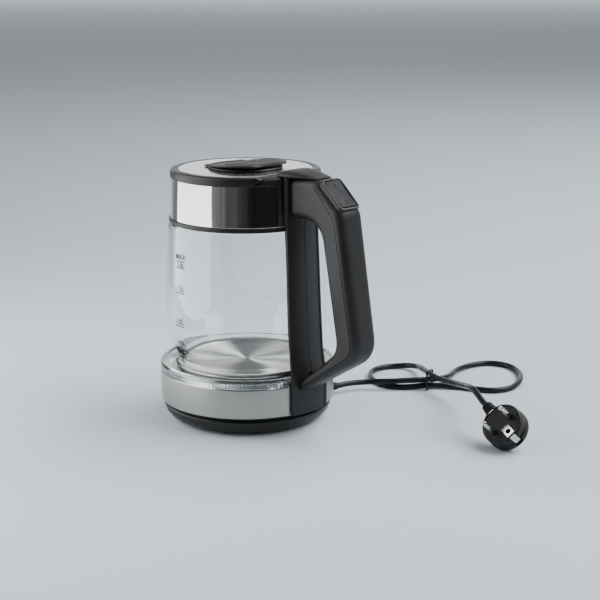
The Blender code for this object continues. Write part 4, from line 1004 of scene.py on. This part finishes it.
# %% Collar
neck_low, neck_high = span("neck_ring")
neck_r = neck_high.x
ring = turned("neck_ring_moulded", [
    (66.8, neck_high.z), (66.8, neck_low.z + 1.4), (neck_r - 1.2, neck_low.z), (neck_r - 0.4, neck_low.z),
    (neck_r, neck_low.z + 0.6), (neck_r, neck_high.z - 0.9), (neck_r - 0.7, neck_high.z)], ABS, 0.5, 180)
give(ring, "jug", "neck_ring")

def steam_way():
    """The bore through collar, liner and spine that lets steam reach the switch."""
    return rod("steam_way", (50, 0, 212), (90, 0, 212), 3.4, ABS)


collar_low, collar_high = span("upper_band")
collar_r, collar_top_r = 68.5, 66.5
WINDOW = ((-80, -15, 197), (-55, 15, 213.5))
collar = turned("polished_collar", [
    (collar_r - 1.2, collar_low.z), (collar_r, collar_low.z), (collar_top_r, collar_high.z),
    (collar_top_r - 1.2, collar_high.z)],
    MIRROR, 0.15, 256)
cut(collar, block("collar_window", *WINDOW, MIRROR))
cut(collar, steam_way())
give(collar, "jug", "upper_band")

liner_low, liner_high = span("neck_liner")
liner_r = liner_high.x
liner = turned("collar_liner", ring_outline(liner_r - 2.6, liner_r, liner_low.z, liner_high.z), ABS, 0.4,
               160)
cut(liner, block("liner_window", (-80, -13.8, 198.2), (-55, 13.8, 212.3), ABS))
cut(liner, steam_way())
cut(liner, block("latch_catch", (-liner_r + 0.8, -5, 215.4), (-liner_r + 8, 5, 226), ABS))
give(liner, "jug", "neck_liner")
seal_low, seal_high = span("upper_seal")
top_seal = turned("upper_seal_ring", ring_outline(63.3, seal_high.x, seal_low.z, seal_high.z), SILICONE,
                  0.3)
give(top_seal, "jug", "upper_seal")
print("collar", round(collar_high.z - collar_low.z, 1), "mm tall")


# %% [markdown]
# ## The spout
# The beak is pressed from sheet: a V in plan, rounded along its nose, which widens to
# the lip. Each level is one curve from cheek to cheek, once outside and once inside.

# %% Spout
BEAK_LEVELS = [(196.2, 71.0, 16.6), (200.0, 73.2, 16.9), (206.0, 77.5, 17.0), (211.0, 82.0, 16.8),
               (215.0, 85.4, 16.5),
               (218.6, 87.6, 16.2), (221.2, 88.6, 16.0)]
BEAK_TOUCH = 68.9


def beak_curve(height, tip, half, inset):
    """Half the plan of the beak at one level, mirrored: cheek, hollow flank, round nose."""
    back = sqrt(BEAK_TOUCH ** 2 - half ** 2)
    nose = 2.4
    flank = []
    for step in range(15):
        t = step / 14
        x = back + (tip - nose - back) * t
        y = half * (1 - t) ** 1.15 + nose * 0.8 * t
        flank.append((x, y))
    for step in range(1, 5):
        a = radians(90 - 90 * step / 4)
        flank.append((tip - nose + nose * cos(a), nose * 0.8 * sin(a)))
    shrunk = [(x - (inset if i else 0) * (0.6 + 0.8 * i / len(flank)),
               max(y - inset * (1 if y > inset else 0.9), 0.0))
              for i, (x, y) in enumerate(flank)]
    near = [Vector((-x, y, height)) for x, y in shrunk]
    return near + [Vector((p.x, -p.y, height)) for p in near[-2::-1]]


def beak():
    bm = bmesh.new()
    outer = [[bm.verts.new(p) for p in beak_curve(*level, 0.0)] for level in BEAK_LEVELS]
    inner = [[bm.verts.new(p + Vector((0, 0, 1.6 if i == 0 else 0))) for p in beak_curve(*level, 1.1)]
             for i, level in enumerate(BEAK_LEVELS)]
    count = len(outer[0])
    for shell in (outer, inner):
        for a, b in zip(shell, shell[1:]):
            for k in range(count - 1):
                bm.faces.new((a[k], a[k + 1], b[k + 1], b[k]))
    for k in range(count - 1):
        bm.faces.new((outer[-1][k], outer[-1][k + 1], inner[-1][k + 1], inner[-1][k]))
    for k in range(len(BEAK_LEVELS) - 1):
        for end in (0, -1):
            bm.faces.new((outer[k][end], outer[k + 1][end], inner[k + 1][end], inner[k][end]))
    bm.faces.new(outer[0])
    bm.faces.new(inner[0])
    bm.faces.new((outer[0][0], inner[0][0], inner[0][-1], outer[0][-1]))
    return piece("pressed_spout", bm, MIRROR)


spout = beak()
give(spout, "jug", "spout")
print("spout reaches", round(-min(v.co.x for v in spout.data.vertices) / MM, 1), "mm")


# %% [markdown]
# ## The lid
# The lid is a black ring with a brushed disc in it, cut straight on the handle's
# side, where it meets the hinge. In its middle lies a round dish, and in the dish the
# grip: a ribbed plate that rises to the handle's side and ends in a crescent in front.

# %% Lid
HINGE_X, HINGE_Z, KNUCKLE_R = 54.0, 228.2, 3.0
KNUCKLES = [(-16.0, -7.0), (7.0, 16.0)]
LUGS = [(-21.3, -16.3), (-6.7, 6.7), (16.3, 21.3)]
rim_low, rim_high = span("lid_rim")
lid_r, lid_low, lid_top = -rim_low.x, rim_low.z, rim_high.z
disc_low, disc_high = span("lid_disc")
disc_r, chord_x = -disc_low.x, disc_high.x


def along_hinge(name, y_from, y_to, radius):
    return rod(name, (HINGE_X, y_from, HINGE_Z), (HINGE_X, y_to, HINGE_Z), radius, ABS)


def rear_of(x):
    """Everything at the lid's height behind a plane across it."""
    return block("rear_of", (x, -90, 200), (120, 90, 260), ABS)


RING_PROFILE = [(lid_r - 0.6, lid_low), (lid_r, lid_low + 0.6), (lid_r, lid_top - 2.4),
                (lid_r - 0.9, lid_top - 0.7), (lid_r - 2.8, lid_top)]


rim = turned("lid_ring_moulded", [(0, lid_low)] + RING_PROFILE + [
    (disc_r + 0.9, lid_top), (disc_r + 0.35, lid_top - 0.5), (disc_r + 0.35, lid_top - 1.3),
    (0, lid_top - 1.3)], ABS, 0.5, 192)
join(rim, block("lid_rear", (chord_x + 0.3, -32.6, lid_low + 1), (HINGE_X + 2, 32.6, lid_top - 0.1), ABS))
cut(rim, rear_of(HINGE_X))
bead = along_hinge("swing_bead", -44, 44, KNUCKLE_R - 0.1)
combine(bead, "INTERSECT", rod("ring_bound", (0, 0, lid_low + 0.5), (0, 0, lid_top + 2), lid_r - 0.15, ABS,
                               192))
join(rim, bead)
for low_y, high_y in LUGS:
    cut(rim, along_hinge("lug_room", low_y - 0.3, high_y + 0.3, KNUCKLE_R + 0.3))
for low_y, high_y in KNUCKLES:
    join(rim, along_hinge("knuckle", low_y, high_y, KNUCKLE_R))
give(rim, "lid", "lid_rim")

disc = turned("lid_disc_brushed", [(0, disc_low.z), (disc_r, disc_low.z), (disc_r, disc_high.z - 0.3),
                                   (disc_r - 0.6, disc_high.z), (0, disc_high.z)], SHEET, 0.15, 192)
cut(disc, rear_of(chord_x))
give(disc, "lid", "lid_disc")

dish_low, dish_high = span("knob_dish")
dish_r = dish_high.x
dish = turned("finger_dish", [
    (0, dish_low.z), (dish_r - 1.2, dish_low.z), (dish_r, dish_low.z + 0.6),
    (dish_r - 0.8, dish_low.z + 1.7),
    (dish_r - 2.6, dish_low.z + 2.0), (dish_r - 6.4, dish_low.z + 1.2), (dish_r - 10.0, dish_low.z + 0.7),
    (0, dish_low.z + 0.6)], SOFT, 0.6, 192)
HORN_AT, HORN_HALF, HORN_REACH = radians(143), radians(17), 0.13
for vert in dish.data.vertices:
    off = abs(abs(atan2(vert.co.y, vert.co.x)) - HORN_AT) / HORN_HALF
    if off < 1 and vert.co.xy.length > 0.6 * dish_r * MM:
        vert.co.xy *= 1 + HORN_REACH * (1 - off) ** 1.6
give(dish, "lid", "knob_dish")

plug_low, plug_high = span("lid_plug")
skirt_r = -plug_low.x
skirt = turned("lid_skirt", [
    (0, plug_high.z - 2.0), (skirt_r - 2.0, plug_high.z - 2.0), (skirt_r - 2.0, plug_low.z),
    (skirt_r, plug_low.z),
    (skirt_r, plug_high.z - 3.4), (skirt_r - 1.4, plug_high.z - 3.4), (skirt_r - 1.4, plug_high.z - 1.2),
    (skirt_r, plug_high.z - 1.2), (skirt_r, plug_high.z), (0, plug_high.z)], ABS, 0.25, 160)
cut(skirt, rear_of(HINGE_X - 3.6))
cut(skirt, block("latch_way", (-90, -4.8, 215.6), (-50, 4.8, 219.4), ABS))
for side in (-1, 1):
    near, far = sorted((side * 4.8, side * 6.0))
    join(skirt, block("latch_rail", (-56, near, 214.5), (-38, far, plug_high.z - 1.0), ABS))
join(skirt, block("spring_stop", (-27.8, -3, 214.5), (-26.6, 3, plug_high.z - 1.0), ABS))
give(skirt, "lid", "lid_plug")
print("lid radius", round(lid_r, 1), "mm")


# %% Grip
grip_high = span("lid_grip")[1]
PLATE_CENTRE, PLATE_R, PLATE_FRONT, PLATE_REAR = 3.0, 35.4, -20.5, 32.6


PLATE_LOW = 234.6


def grip_top(x):
    """The plate's upper surface rises from the front to the pivot side."""
    t = (x - PLATE_FRONT) / (PLATE_REAR - PLATE_FRONT)
    return PLATE_LOW + (grip_high.z - 0.45 - PLATE_LOW) * min(t / 0.72, 1) ** 0.9


def crescent(s, t):
    """How far the front edge is hollowed, s across the plate and t along it."""
    return 6.5 * (1 - s * s) * max(0, 1 - t / 0.3) ** 1.4


def grip_plate():
    """Stations from the crescent front to the high rear edge, each a low rounded section."""
    bm = bmesh.new()
    rings = []
    count = 40
    for i in range(count + 1):
        t = i / count
        x = PLATE_FRONT + (PLATE_REAR - PLATE_FRONT) * t
        half = sqrt(max(PLATE_R ** 2 - (x - PLATE_CENTRE) ** 2, 0)) - 0.2
        half -= 5.0 * max(0, (t - 0.94) / 0.06) ** 2
        top, thick = grip_top(x), 1.9 + 0.5 * t
        end = 0.9 * max(0, 1 - t / 0.05) ** 2 + 0.9 * max(0, (t - 0.96) / 0.04) ** 2
        section = []
        for step in range(25):
            s = -1 + 2 * step / 24
            section.append((x + crescent(s, t), s * half, top - end - 0.9 * abs(s) ** 9))
        under = [(x + crescent(s, t), s * half * 0.97, top - thick)
                 for s in (1, 0.5, 0, -0.5, -1)]
        rings.append([bm.verts.new(p) for p in section + under])
    skin(bm, rings)
    return piece("pull_grip", bm, SOFT)


grip = grip_plate()
give(grip, "grip", "lid_grip")


RIB_COUNT, RIB_FIRST, RIB_SPREAD, RIB_LONGEST = 11, 4.0, 1.7, 0.056


def rib_row():
    """Short bars in a row, each as long as the grip is wide there."""
    tree, given = new_tree("rib_row", Count="Int", First="Vector", Step="Vector", Reach="Float",
                           Thickness="Float")
    line = add(tree, "GeometryNodeMeshLine", {"Count": given["Count"], "Start Location": given["First"],
                                              "Offset": given["Step"]})
    place = add(tree, "ShaderNodeSeparateXYZ", {0: add(tree, "GeometryNodeInputPosition").outputs[0]})
    square = reckon(tree, "POWER", place.outputs[0], 2.0)
    reach = reckon(tree, "POWER", given["Reach"], 2.0)
    half_width = reckon(tree, "SQRT", reckon(tree, "SUBTRACT", reach, square))
    length = reckon(tree, "MINIMUM", reckon(tree, "MULTIPLY", half_width, RIB_SPREAD), RIB_LONGEST)
    size = add(tree, "ShaderNodeCombineXYZ", {0: 1.0, 1: 1.0, 2: length})
    bar = add(tree, "GeometryNodeMeshCylinder",
              {"Vertices": 10, "Radius": given["Thickness"], "Depth": 1.0})
    rows = add(tree, "GeometryNodeInstanceOnPoints", {"Points": line.outputs[0], "Instance": bar.outputs[0],
                                                      "Rotation": (pi / 2, 0.0,
                                                                   0.0), "Scale": size.outputs[0]})
    return dressed(tree, rows, SOFT)


ribs = grown("grip_ribs", rib_row(),
             {"Count": RIB_COUNT, "First": (RIB_FIRST * MM, 0.0, grip_top(RIB_FIRST) * MM),
                                      "Step": (0.0027, 0.0,
                                               0.0), "Reach": 0.034, "Thickness": 0.0008}, SOFT)
for vert in ribs.data.vertices:
    vert.co.z = min(vert.co.z + (grip_top(vert.co.x / MM) - grip_top(RIB_FIRST) - 0.3) * MM,
                    grip_high.z * MM)
ribs.data.shade_smooth()
ribs.data.set_sharp_from_angle(angle=radians(40))
give(ribs, "grip")
print("grip ribs:", RIB_COUNT)


# %% Latch, filter and hinge
LATCH_Z = 217.5
bolt_low, bolt_high = span("latch_bolt")
bolt = extruded("latch_bolt_moulded", [
    (bolt_high.x, bolt_low.z), (bolt_low.x + 1.6, bolt_low.z), (bolt_low.x, LATCH_Z),
    (bolt_low.x, bolt_high.z),
    (bolt_high.x, bolt_high.z)], bolt_low.y, bolt_high.y, ABS, 0.3, 2)
give(bolt, "latch", "latch_bolt")


def wound_wire():
    """A coil with closed ends: a spiral swept with a round section."""
    tree, given = new_tree("wound_wire", Turns="Float", Radius="Float", Length="Float", Wire="Float",
                           Start="Vector")
    coil = add(tree, "GeometryNodeCurveSpiral", {"Resolution": 24, "Rotations": given["Turns"],
                                                 "Start Radius": given["Radius"],
                                                 "End Radius": given["Radius"],
                                                 "Height": given["Length"]})
    section = add(tree, "GeometryNodeCurvePrimitiveCircle", {"Resolution": 8, "Radius": given["Wire"]})
    swept = add(tree, "GeometryNodeCurveToMesh",
                {"Curve": coil.outputs[0], "Profile Curve": section.outputs[0],
                                                  "Fill Caps": True})
    lying = add(tree, "GeometryNodeTransform", {0: swept.outputs[0], "Rotation": (0.0, pi / 2, 0.0),
                                                "Translation": given["Start"]})
    return dressed(tree, lying, ZINC)


coil_low, coil_high = span("latch_spring")
coil = grown("latch_spring_wound", wound_wire(), {
    "Turns": 5.0, "Radius": 0.002, "Length": (coil_high.x - coil_low.x - 0.8) * MM, "Wire": 0.00035,
    "Start": ((coil_low.x + 0.4) * MM, 0.0, LATCH_Z * MM)}, ZINC)
coil.data.shade_smooth()
give(coil, "lid", "latch_spring")

pin_low, pin_high = span("hinge_pin")
pin = rod("hinge_pin_ground", (HINGE_X, pin_low.y, HINGE_Z), (HINGE_X, pin_high.y, HINGE_Z),
          (pin_high.z - pin_low.z) / 2, NICKEL, 24, 0.15)
give(pin, "jug", "hinge_pin")

rear = turned("rear_ring", [(30.0, lid_low)] + RING_PROFILE + [(30.0, lid_top)], ABS, 0.5, 192)
cut(rear, block("rear_front", (-100, -90, 200), (HINGE_X + 0.25, 90, 260), ABS))
cut(rear, along_hinge("lid_room", -34, 34, KNUCKLE_R + 1.2))
cut(rear, along_hinge("bead_room", -60, 60, KNUCKLE_R + 0.9))
for low_y, high_y in LUGS:
    join(rear, along_hinge("lug", low_y, high_y, KNUCKLE_R))
    join(rear, block("lug_arm", (HINGE_X, low_y, HINGE_Z - 2.2), (HINGE_X + 5, high_y, HINGE_Z + 2.2), ABS))
cut(rear, along_hinge("lug_bore", -60, 60, (pin_high.z - pin_low.z) / 2 + 0.2))
give(rear, "jug", "rear_rim")

print("hinge pin", round(pin_high.y - pin_low.y, 1), "mm long")


# %% [markdown]
# ## The handle
# Two moulded shells meet on a parting line that follows the handle's side. A spine
# behind them lies on the jug. The shells are drawn as one solid, hollowed, then cut
# into two along the parting line, so their seam is even everywhere.

# %% Handle outlines
HANDLE_OUTER = [(60, 231.2, 0), (101.5, 231.2, 11), (129.5, 206.5, 16), (150.5, 82, 25), (73, 34.8, 0)]
HANDLE_PARTING = [(93, 246, 0), (96.5, 228, 8), (121.5, 200.5, 10), (143.5, 86.5, 17), (73, 37.6, 0)]
HANDLE_INNER = [(60, 194, 0), (103, 196, 20), (123.5, 85.5, 18), (73, 43, 0)]
HANDLE_WIDTH, HANDLE_WALL, HANDLE_EDGE = 30.0, 2.4, 8.5
EDGE_FLARE, END_SHARE = 8.0, 0.22
SEAM = 0.5
SPINE_HALF = 20.5
SPINE_FACE = [(84.2, 19.6), (84.2, 47), (80.3, 74), (78.3, 110), (76.6, 150), (74.8, 185), (73.6, 231.0)]
SPINE_SUNK = 0.9


def filleted(corners, steps=8):
    """Points along an (x, z, fillet radius) corner list, each fillet drawn as an arc."""
    out = []
    for i, (x, z, radius) in enumerate(corners):
        here = Vector((x, z))
        if radius == 0:
            out.append((x, z))
            continue
        back = (Vector(corners[i - 1][:2]) - here).normalized()
        ahead = (Vector(corners[i + 1][:2]) - here).normalized()
        half = back.angle(ahead) / 2
        centre = here + (back + ahead).normalized() * (radius / sin(half))
        first = here + back * (radius / tan(half)) - centre
        sweep = first.angle_signed(here + ahead * (radius / tan(half)) - centre)
        out += [tuple(centre + Matrix.Rotation(-sweep * step / steps,
                                               2) @ first) for step in range(steps + 1)]
    return out


def aside(corners, distance, at_end=None):
    """The same corner list moved sideways, its fillets kept concentric; the last corner may move less."""
    points = [Vector((x, z)) for x, z, _ in corners]
    sides = [Vector((a.y - b.y, b.x - a.x)).normalized() for a, b in zip(points, points[1:])]
    moved = []
    for i, (_, _, radius) in enumerate(corners):
        before, after = sides[max(i - 1, 0)], sides[min(i, len(sides) - 1)]
        middle = (before + after).normalized()
        reach = at_end if at_end is not None and i == len(corners) - 1 else distance
        spot = points[i] + middle * (reach / max(middle.dot(before), 0.2))
        turn = before.x * after.y - before.y * after.x
        bend = 0 if radius == 0 else (1 if turn > 0 else -1)
        moved.append((spot.x, spot.y, max(radius - distance * bend, 0.5) if radius else 0))
    return moved


def handle_block(name, inset, edge, flare, segments):
    """The whole handle as a solid, or its inner room when inset is the wall.

    It is skinned over outlines that draw in towards both sides, so the edges are
    quarter ellipses that the outline's own fillets cannot break."""
    bm = bmesh.new()
    half = HANDLE_WIDTH / 2 - inset
    sides = [-half + edge * (1 - cos(pi / 2 * i / segments)) for i in range(segments + 1)]
    sides += [-y for y in reversed(sides)]
    rings = []
    for y in sides:
        over = max(0.0, (abs(y) - (half - edge)) / edge)
        drawn = flare * (1 - sqrt(max(1 - over * over, 0)))
        wide, narrow = inset + drawn, inset + drawn * END_SHARE
        outline = filleted(aside(HANDLE_OUTER, -wide, -narrow)) + filleted(aside(HANDLE_INNER, wide,
                                                                                 narrow))[::-1]
        rings.append([bm.verts.new((x, y, z)) for x, z in outline])
    skin(bm, rings)
    return piece(name, bm, SOFT)


def inner_side(name, inset):
    """Everything on the jug's side of the parting line."""
    line = filleted(aside(HANDLE_PARTING, -inset))
    return extruded(name, [(20, line[0][1])] + line + [(20, line[-1][1] - 5)], -40, 40, SOFT)


def hollow_room():
    room = handle_block("handle_room", HANDLE_WALL, HANDLE_EDGE - 1.0, 3.6, 3)
    cut(room, block("upper_boss", (60, -4.5, 190), (88, 4.5, 207.6), SOFT))
    return cut(room, block("lower_boss", (60, -4.5, 45.8), (93.5, 4.5, 80), SOFT))


def spine_face():
    """Everything from the axis out to the spine's sunk face, used to trim the handle's ends."""
    line = [(r - SPINE_SUNK + 0.25, z) for r, z in SPINE_FACE]
    outline = [(0, -10), (line[0][0], -10)] + line + [(line[-1][0], 262), (0, 262)]
    return turned("spine_face", outline, SOFT, 0, 160)


# %% Handle shells
inner_shell = handle_block("grip_inner_shell", 0, HANDLE_EDGE, EDGE_FLARE, 10)
combine(inner_shell, "INTERSECT", inner_side("seam_inner", SEAM / 2))
cut(inner_shell, hollow_room())
cut(inner_shell, spine_face())
SCREWS = [{"height": 204.0, "seat": 71.6, "end": 86.5}, {"height": 50.2, "seat": 82.4, "end": 87.6}]
for screw in SCREWS:
    height = screw["height"]
    cut(inner_shell, rod("screw_bore", (60, 0, height), (screw["end"], 0, height), 1.7, SOFT, 24))
give(inner_shell, "jug", "handle_inner_shell")

SWITCH_TOP, SWITCH_FOOT = Vector((105.6, 0, 229.6)), Vector((126.6, 0, 210.0))
SWITCH_DOWN = (SWITCH_FOOT - SWITCH_TOP).normalized()
SWITCH_OUT = Vector((-SWITCH_DOWN.z, 0, SWITCH_DOWN.x))
SWITCH_AT = (SWITCH_TOP + SWITCH_FOOT) / 2
SWITCH_LENGTH, SWITCH_WIDTH = (SWITCH_FOOT - SWITCH_TOP).length, 19.0
CLEARANCE, BEZEL = 0.9, 1.8


def on_slope(name, outline, width, material, edge=0.0, segments=3):
    """An outline in (down the slope, out of it), drawn out across the handle."""
    spots = [SWITCH_AT + SWITCH_DOWN * u + SWITCH_OUT * v for u, v in outline]
    return extruded(name, [(p.x, p.z) for p in spots], -width / 2, width / 2, material, edge, segments)


def slope_block(name, length, width, low, high, material, edge=0.0):
    half = length / 2
    return on_slope(name, [(-half, low), (half, low), (half, high), (-half, high)], width, material, edge)


def slope_pad(name, length, width, low, high, corner, material, edge=0.0):
    """A block on the slope with rounded corners in plan and a softened top edge."""
    bm = bmesh.new()
    rings = []
    steps = 4 if edge else 0
    levels = [(low, 0.0)] + [(high - edge * (1 - sin(pi / 2 * i / 4)), edge * (1 - cos(pi / 2 * i / 4)))
                             for i in range(steps + 1)]
    for level, drawn in levels:
        ring = []
        for sign_u, sign_y, start in ((1, 1, 0), (-1, 1, 90), (-1, -1, 180), (1, -1, 270)):
            for step in range(7):
                a = radians(start + 15 * step)
                u = sign_u * (length / 2 - corner) + (corner - drawn) * cos(a)
                y = sign_y * (width / 2 - corner) + (corner - drawn) * sin(a)
                spot = SWITCH_AT + SWITCH_DOWN * u + SWITCH_OUT * level
                ring.append(bm.verts.new((spot.x, y, spot.z)))
        rings.append(ring)
    skin(bm, rings)
    return piece(name, bm, material)


def frame_size(extra):
    return SWITCH_LENGTH + 2 * CLEARANCE + extra, SWITCH_WIDTH + 2 * CLEARANCE + extra


cover = handle_block("grip_outer_cover", 0, HANDLE_EDGE, EDGE_FLARE, 10)
cut(cover, inner_side("seam_outer", -SEAM / 2))
cut(cover, hollow_room())
cut(cover, spine_face())
cut(cover, slope_pad("switch_way", *frame_size(2 * BEZEL + 0.5), -14, 14, 4.9, SOFT))
cut(cover, block("cap_room", (60, -30, 230.95), (98.5, 30, 250), SOFT))
for side in (-1, 1):
    line_out, line_in = filleted(aside(HANDLE_PARTING, 3.1)), filleted(aside(HANDLE_PARTING, 2.7))
    near, far = sorted((side * (HANDLE_WIDTH / 2 - 0.35), side * (HANDLE_WIDTH / 2 + 2)))
    cut(cover, extruded("fine_line", line_out + line_in[::-1], near, far, SOFT))
give(cover, "jug", "handle_outer_cover")
print("handle shells:", len(inner_shell.data.polygons), "and", len(cover.data.polygons), "faces")


# %% [markdown]
# ## Switch, cap and spine
# The rocker dips in the middle, stands in a raised frame and carries two raised signs.
# The cap is a dome that runs from the lid to the handle. The spine is a shell that
# follows the jug, with a raised lip on one edge and a sunk panel near its foot.

# %% Switch
bezel = slope_pad("switch_frame", *frame_size(2 * BEZEL), -7.0, 1.0, 4.6, SOFT, 0.9)
cut(bezel, slope_pad("switch_window", *frame_size(0), -20, 20, 3.0, SOFT))
pivot = SWITCH_AT + SWITCH_OUT * -4.6
cut(bezel, rod("switch_bearing", (pivot.x, -30, pivot.z), (pivot.x, 30, pivot.z), 1.75, ABS, 24))
give(bezel, "jug", "switch_bezel")

half = SWITCH_LENGTH / 2


def rocker_height(share):
    """The rocker's hollow top, from its middle (0) to either end (1)."""
    return 0.45 + 0.75 * abs(share) ** 2


dip = [(half * 0.98 * (1 - 2 * i / 12), rocker_height(1 - 2 * i / 12)) for i in range(13)]
rocker = on_slope("rocker_paddle", [(-half, -2.2), (-4.0, -3.6), (-2.2, -6.6), (2.2, -6.6), (4.0, -3.6),
                                    (half, -2.2),
                                    (half, 0.7)] + dip + [(-half, 0.7)], SWITCH_WIDTH, SATIN, 0.6, 4)
combine(rocker, "INTERSECT", slope_pad("rocker_plan", SWITCH_LENGTH, SWITCH_WIDTH, -9, 5, 2.4, SATIN))
reach = SWITCH_WIDTH / 2 + CLEARANCE + BEZEL - 0.3
join(rocker, rod("rocker_stubs", (pivot.x, -reach, pivot.z), (pivot.x, reach, pivot.z), 1.45, SATIN, 24))
give(rocker, "rocker", "rocker_switch")


def slope_sign(name, outline_points, u_at):
    """A printed shape lying on the rocker: (across, down) points, lifted to its surface."""
    bm = bmesh.new()
    for loop in outline_points:
        verts = []
        for across, down in loop:
            u = u_at + down
            lift = rocker_height(u / half) + 0.06
            verts.append(bm.verts.new(SWITCH_AT + SWITCH_DOWN * u + SWITCH_OUT * lift + Vector((0, across,
                                                                                                0))))
        bm.faces.new(verts)
    return piece(name, bm, PRINT)


bar_sign = slope_sign("sign_on", [[(-0.5, -2), (0.5, -2), (0.5, 2), (-0.5, 2)]], -8.4)
ring_loops = []
for i in range(24):
    a, b = 2 * pi * i / 24, 2 * pi * (i + 1) / 24
    ring_loops.append([(1.5 * cos(a), 2.1 * sin(a)), (1.5 * cos(b), 2.1 * sin(b)),
                       (0.8 * cos(b), 1.4 * sin(b)), (0.8 * cos(a), 1.4 * sin(a))])
ring_sign = slope_sign("sign_off", ring_loops, 8.4)
for sign in (bar_sign, ring_sign):
    give(sign, "rocker")

print("switch length", round(SWITCH_LENGTH, 1), "mm")


# %% Cap
CAP_STATIONS = [(57.3, 19.6, 235.2), (64, 19.8, 236.4), (72, 17.9, 236.2), (82, 14.4, 235.0),
                (91, 11.4, 233.2),
                (98, 9.4, 231.9)]
CAP_FRONT, CAP_BACK = 57.3, 98.0
CAP_FOOT = lid_top + 0.3


def cap_station(x):
    """Half width and top height of the cap at x, on a smooth line through the stations."""
    for (x0, w0, t0), (x1, w1, t1) in zip(CAP_STATIONS, CAP_STATIONS[1:]):
        if x <= x1:
            s = (x - x0) / (x1 - x0)
            return w0 + (w1 - w0) * s, t0 + (t1 - t0) * s
    return CAP_STATIONS[-1][1:]


def domed_cap():
    bm = bmesh.new()
    rings = []
    count = 24
    for i in range(count + 1):
        x = CAP_FRONT + (CAP_BACK - CAP_FRONT) * i / count
        width, top = cap_station(x)
        lead_in = 1.6 * (1 - min((x - CAP_FRONT) / 4.0, 1)) ** 2
        tail = 0.2 * (1 - min((CAP_BACK - x) / 1.5, 1)) ** 2
        rise = top - CAP_FOOT - lead_in - tail
        section = []
        for step in range(33):
            s = -1 + 2 * step / 32
            bend = (1 - abs(s) ** 3.4) ** (1 / 2.2)
            section.append((x, (width - 1.2 * lead_in) * s, CAP_FOOT + rise * (0.28 + 0.72 * bend)))
        foot = width - 1.2 * lead_in
        ring = [(x, -foot, CAP_FOOT)] + section + [(x, foot, CAP_FOOT)]
        rings.append([bm.verts.new(p) for p in ring])
    skin(bm, rings)
    return piece("hinge_cap", bm, SOFT, 38)


cap = domed_cap()
give(cap, "jug", "handle_cap")


# %% Spine
SPINE_BACK = [(69.0, 231.0), (69.0, 190.5), (70.3, 187.9), (70.3, 183), (72.6, 154), (74.8, 100),
              (81.0, 47),
              (81.0, 19.6)]


SPINE_FOOT, SPINE_TOP = 19.6, 231.0


def radius_on(profile, height):
    """The radius of an upward profile at one height."""
    for (r0, z0), (r1, z1) in zip(profile, profile[1:]):
        if min(z0, z1) <= height <= max(z0, z1) and z0 != z1:
            return r0 + (r1 - r0) * (height - z0) / (z1 - z0)
    return profile[-1][0]


def lipped_spine():
    """A curved strip: a sunk face between two raised lips, with a fine line down its middle."""
    bm = bmesh.new()
    half_turn = SPINE_HALF / 77.5
    one_side = [0.35, 3, 6, 10, 14, 17.6, 18.0, 18.6, 19.4, 20.1, 20.5]
    marks = [-mark for mark in reversed(one_side)] + [0] + one_side
    corners = {round(z, 2) for _, z in SPINE_FACE + SPINE_BACK}
    heights = sorted(corners | {SPINE_FOOT + i * (SPINE_TOP - SPINE_FOOT) / 44 for i in range(45)})
    rows = []
    for height in heights:
        front, back = radius_on(SPINE_FACE, height), radius_on(SPINE_BACK, height)
        row = []
        for mark in marks:
            a = mark / SPINE_HALF * half_turn
            if abs(mark) >= 18.0:
                drop = 0.5 if abs(mark) > 20.3 else (0.1 if abs(mark) in (20.1, 18.0) else 0.0)
            else:
                drop = SPINE_SUNK + (0.35 if mark == 0 and 60 < height < 192 else 0.0)
            row.append(((front - drop) * cos(a), (front - drop) * sin(a), height))
        for mark in marks[::-1]:
            a = mark / SPINE_HALF * half_turn
            row.append((back * cos(a), back * sin(a), height))
        rows.append([bm.verts.new(p) for p in row])
    skin(bm, rows)
    return piece("moulded_spine", bm, SOFT)


spine = lipped_spine()
for screw in SCREWS:
    height = screw["height"]
    cut(spine, rod("spine_screw_way", (60, 0, height), (95, 0, height), 1.8, SOFT, 24))
    cut(spine, rod("spine_screw_seat", (60, 0, height), (screw["seat"], 0, height), 3.3, SOFT, 32))
cut(spine, steam_way())
cut(spine, block("spine_panel", (82.6, -14, 22.0), (95, 14, 33.5), SOFT))
give(spine, "jug", "handle_spine")
print("spine width", round(2 * SPINE_HALF, 1), "mm")


# %% [markdown]
# ## Pieces kept from the frame
# Small parts inside or underneath keep the frame's own shape. Each still gets a real
# finish, chosen by what it is made of.

# %% Finishes for the kept pieces
BY_SLOT = {"black_plastic": ABS, "soft_black": SOFT, "mirror_steel": MIRROR, "satin_steel": NICKEL,
           "glass": GLASS, "clear_plastic": STYRENE, "rubber": RUBBER, "silicone": SILICONE, "brass": BRASS,
           "cord_pvc": PLUG_PVC, "board_green": BOARD}
BY_NODE = {"handle_screw_1": ZINC, "handle_screw_2": ZINC, "base_screw_1": ZINC, "base_screw_2": ZINC}
kept = []
for name, obj in frame["nodes"].items():
    if name in refined:
        continue
    slot = obj.data.materials[0].name.split(".")[0]
    dressing = BY_NODE.get(name, BY_SLOT[slot])
    for i in range(len(obj.data.materials)):
        obj.data.materials[i] = dressing
    kept.append(name)
print(len(kept), "pieces kept:", ", ".join(sorted(kept)))
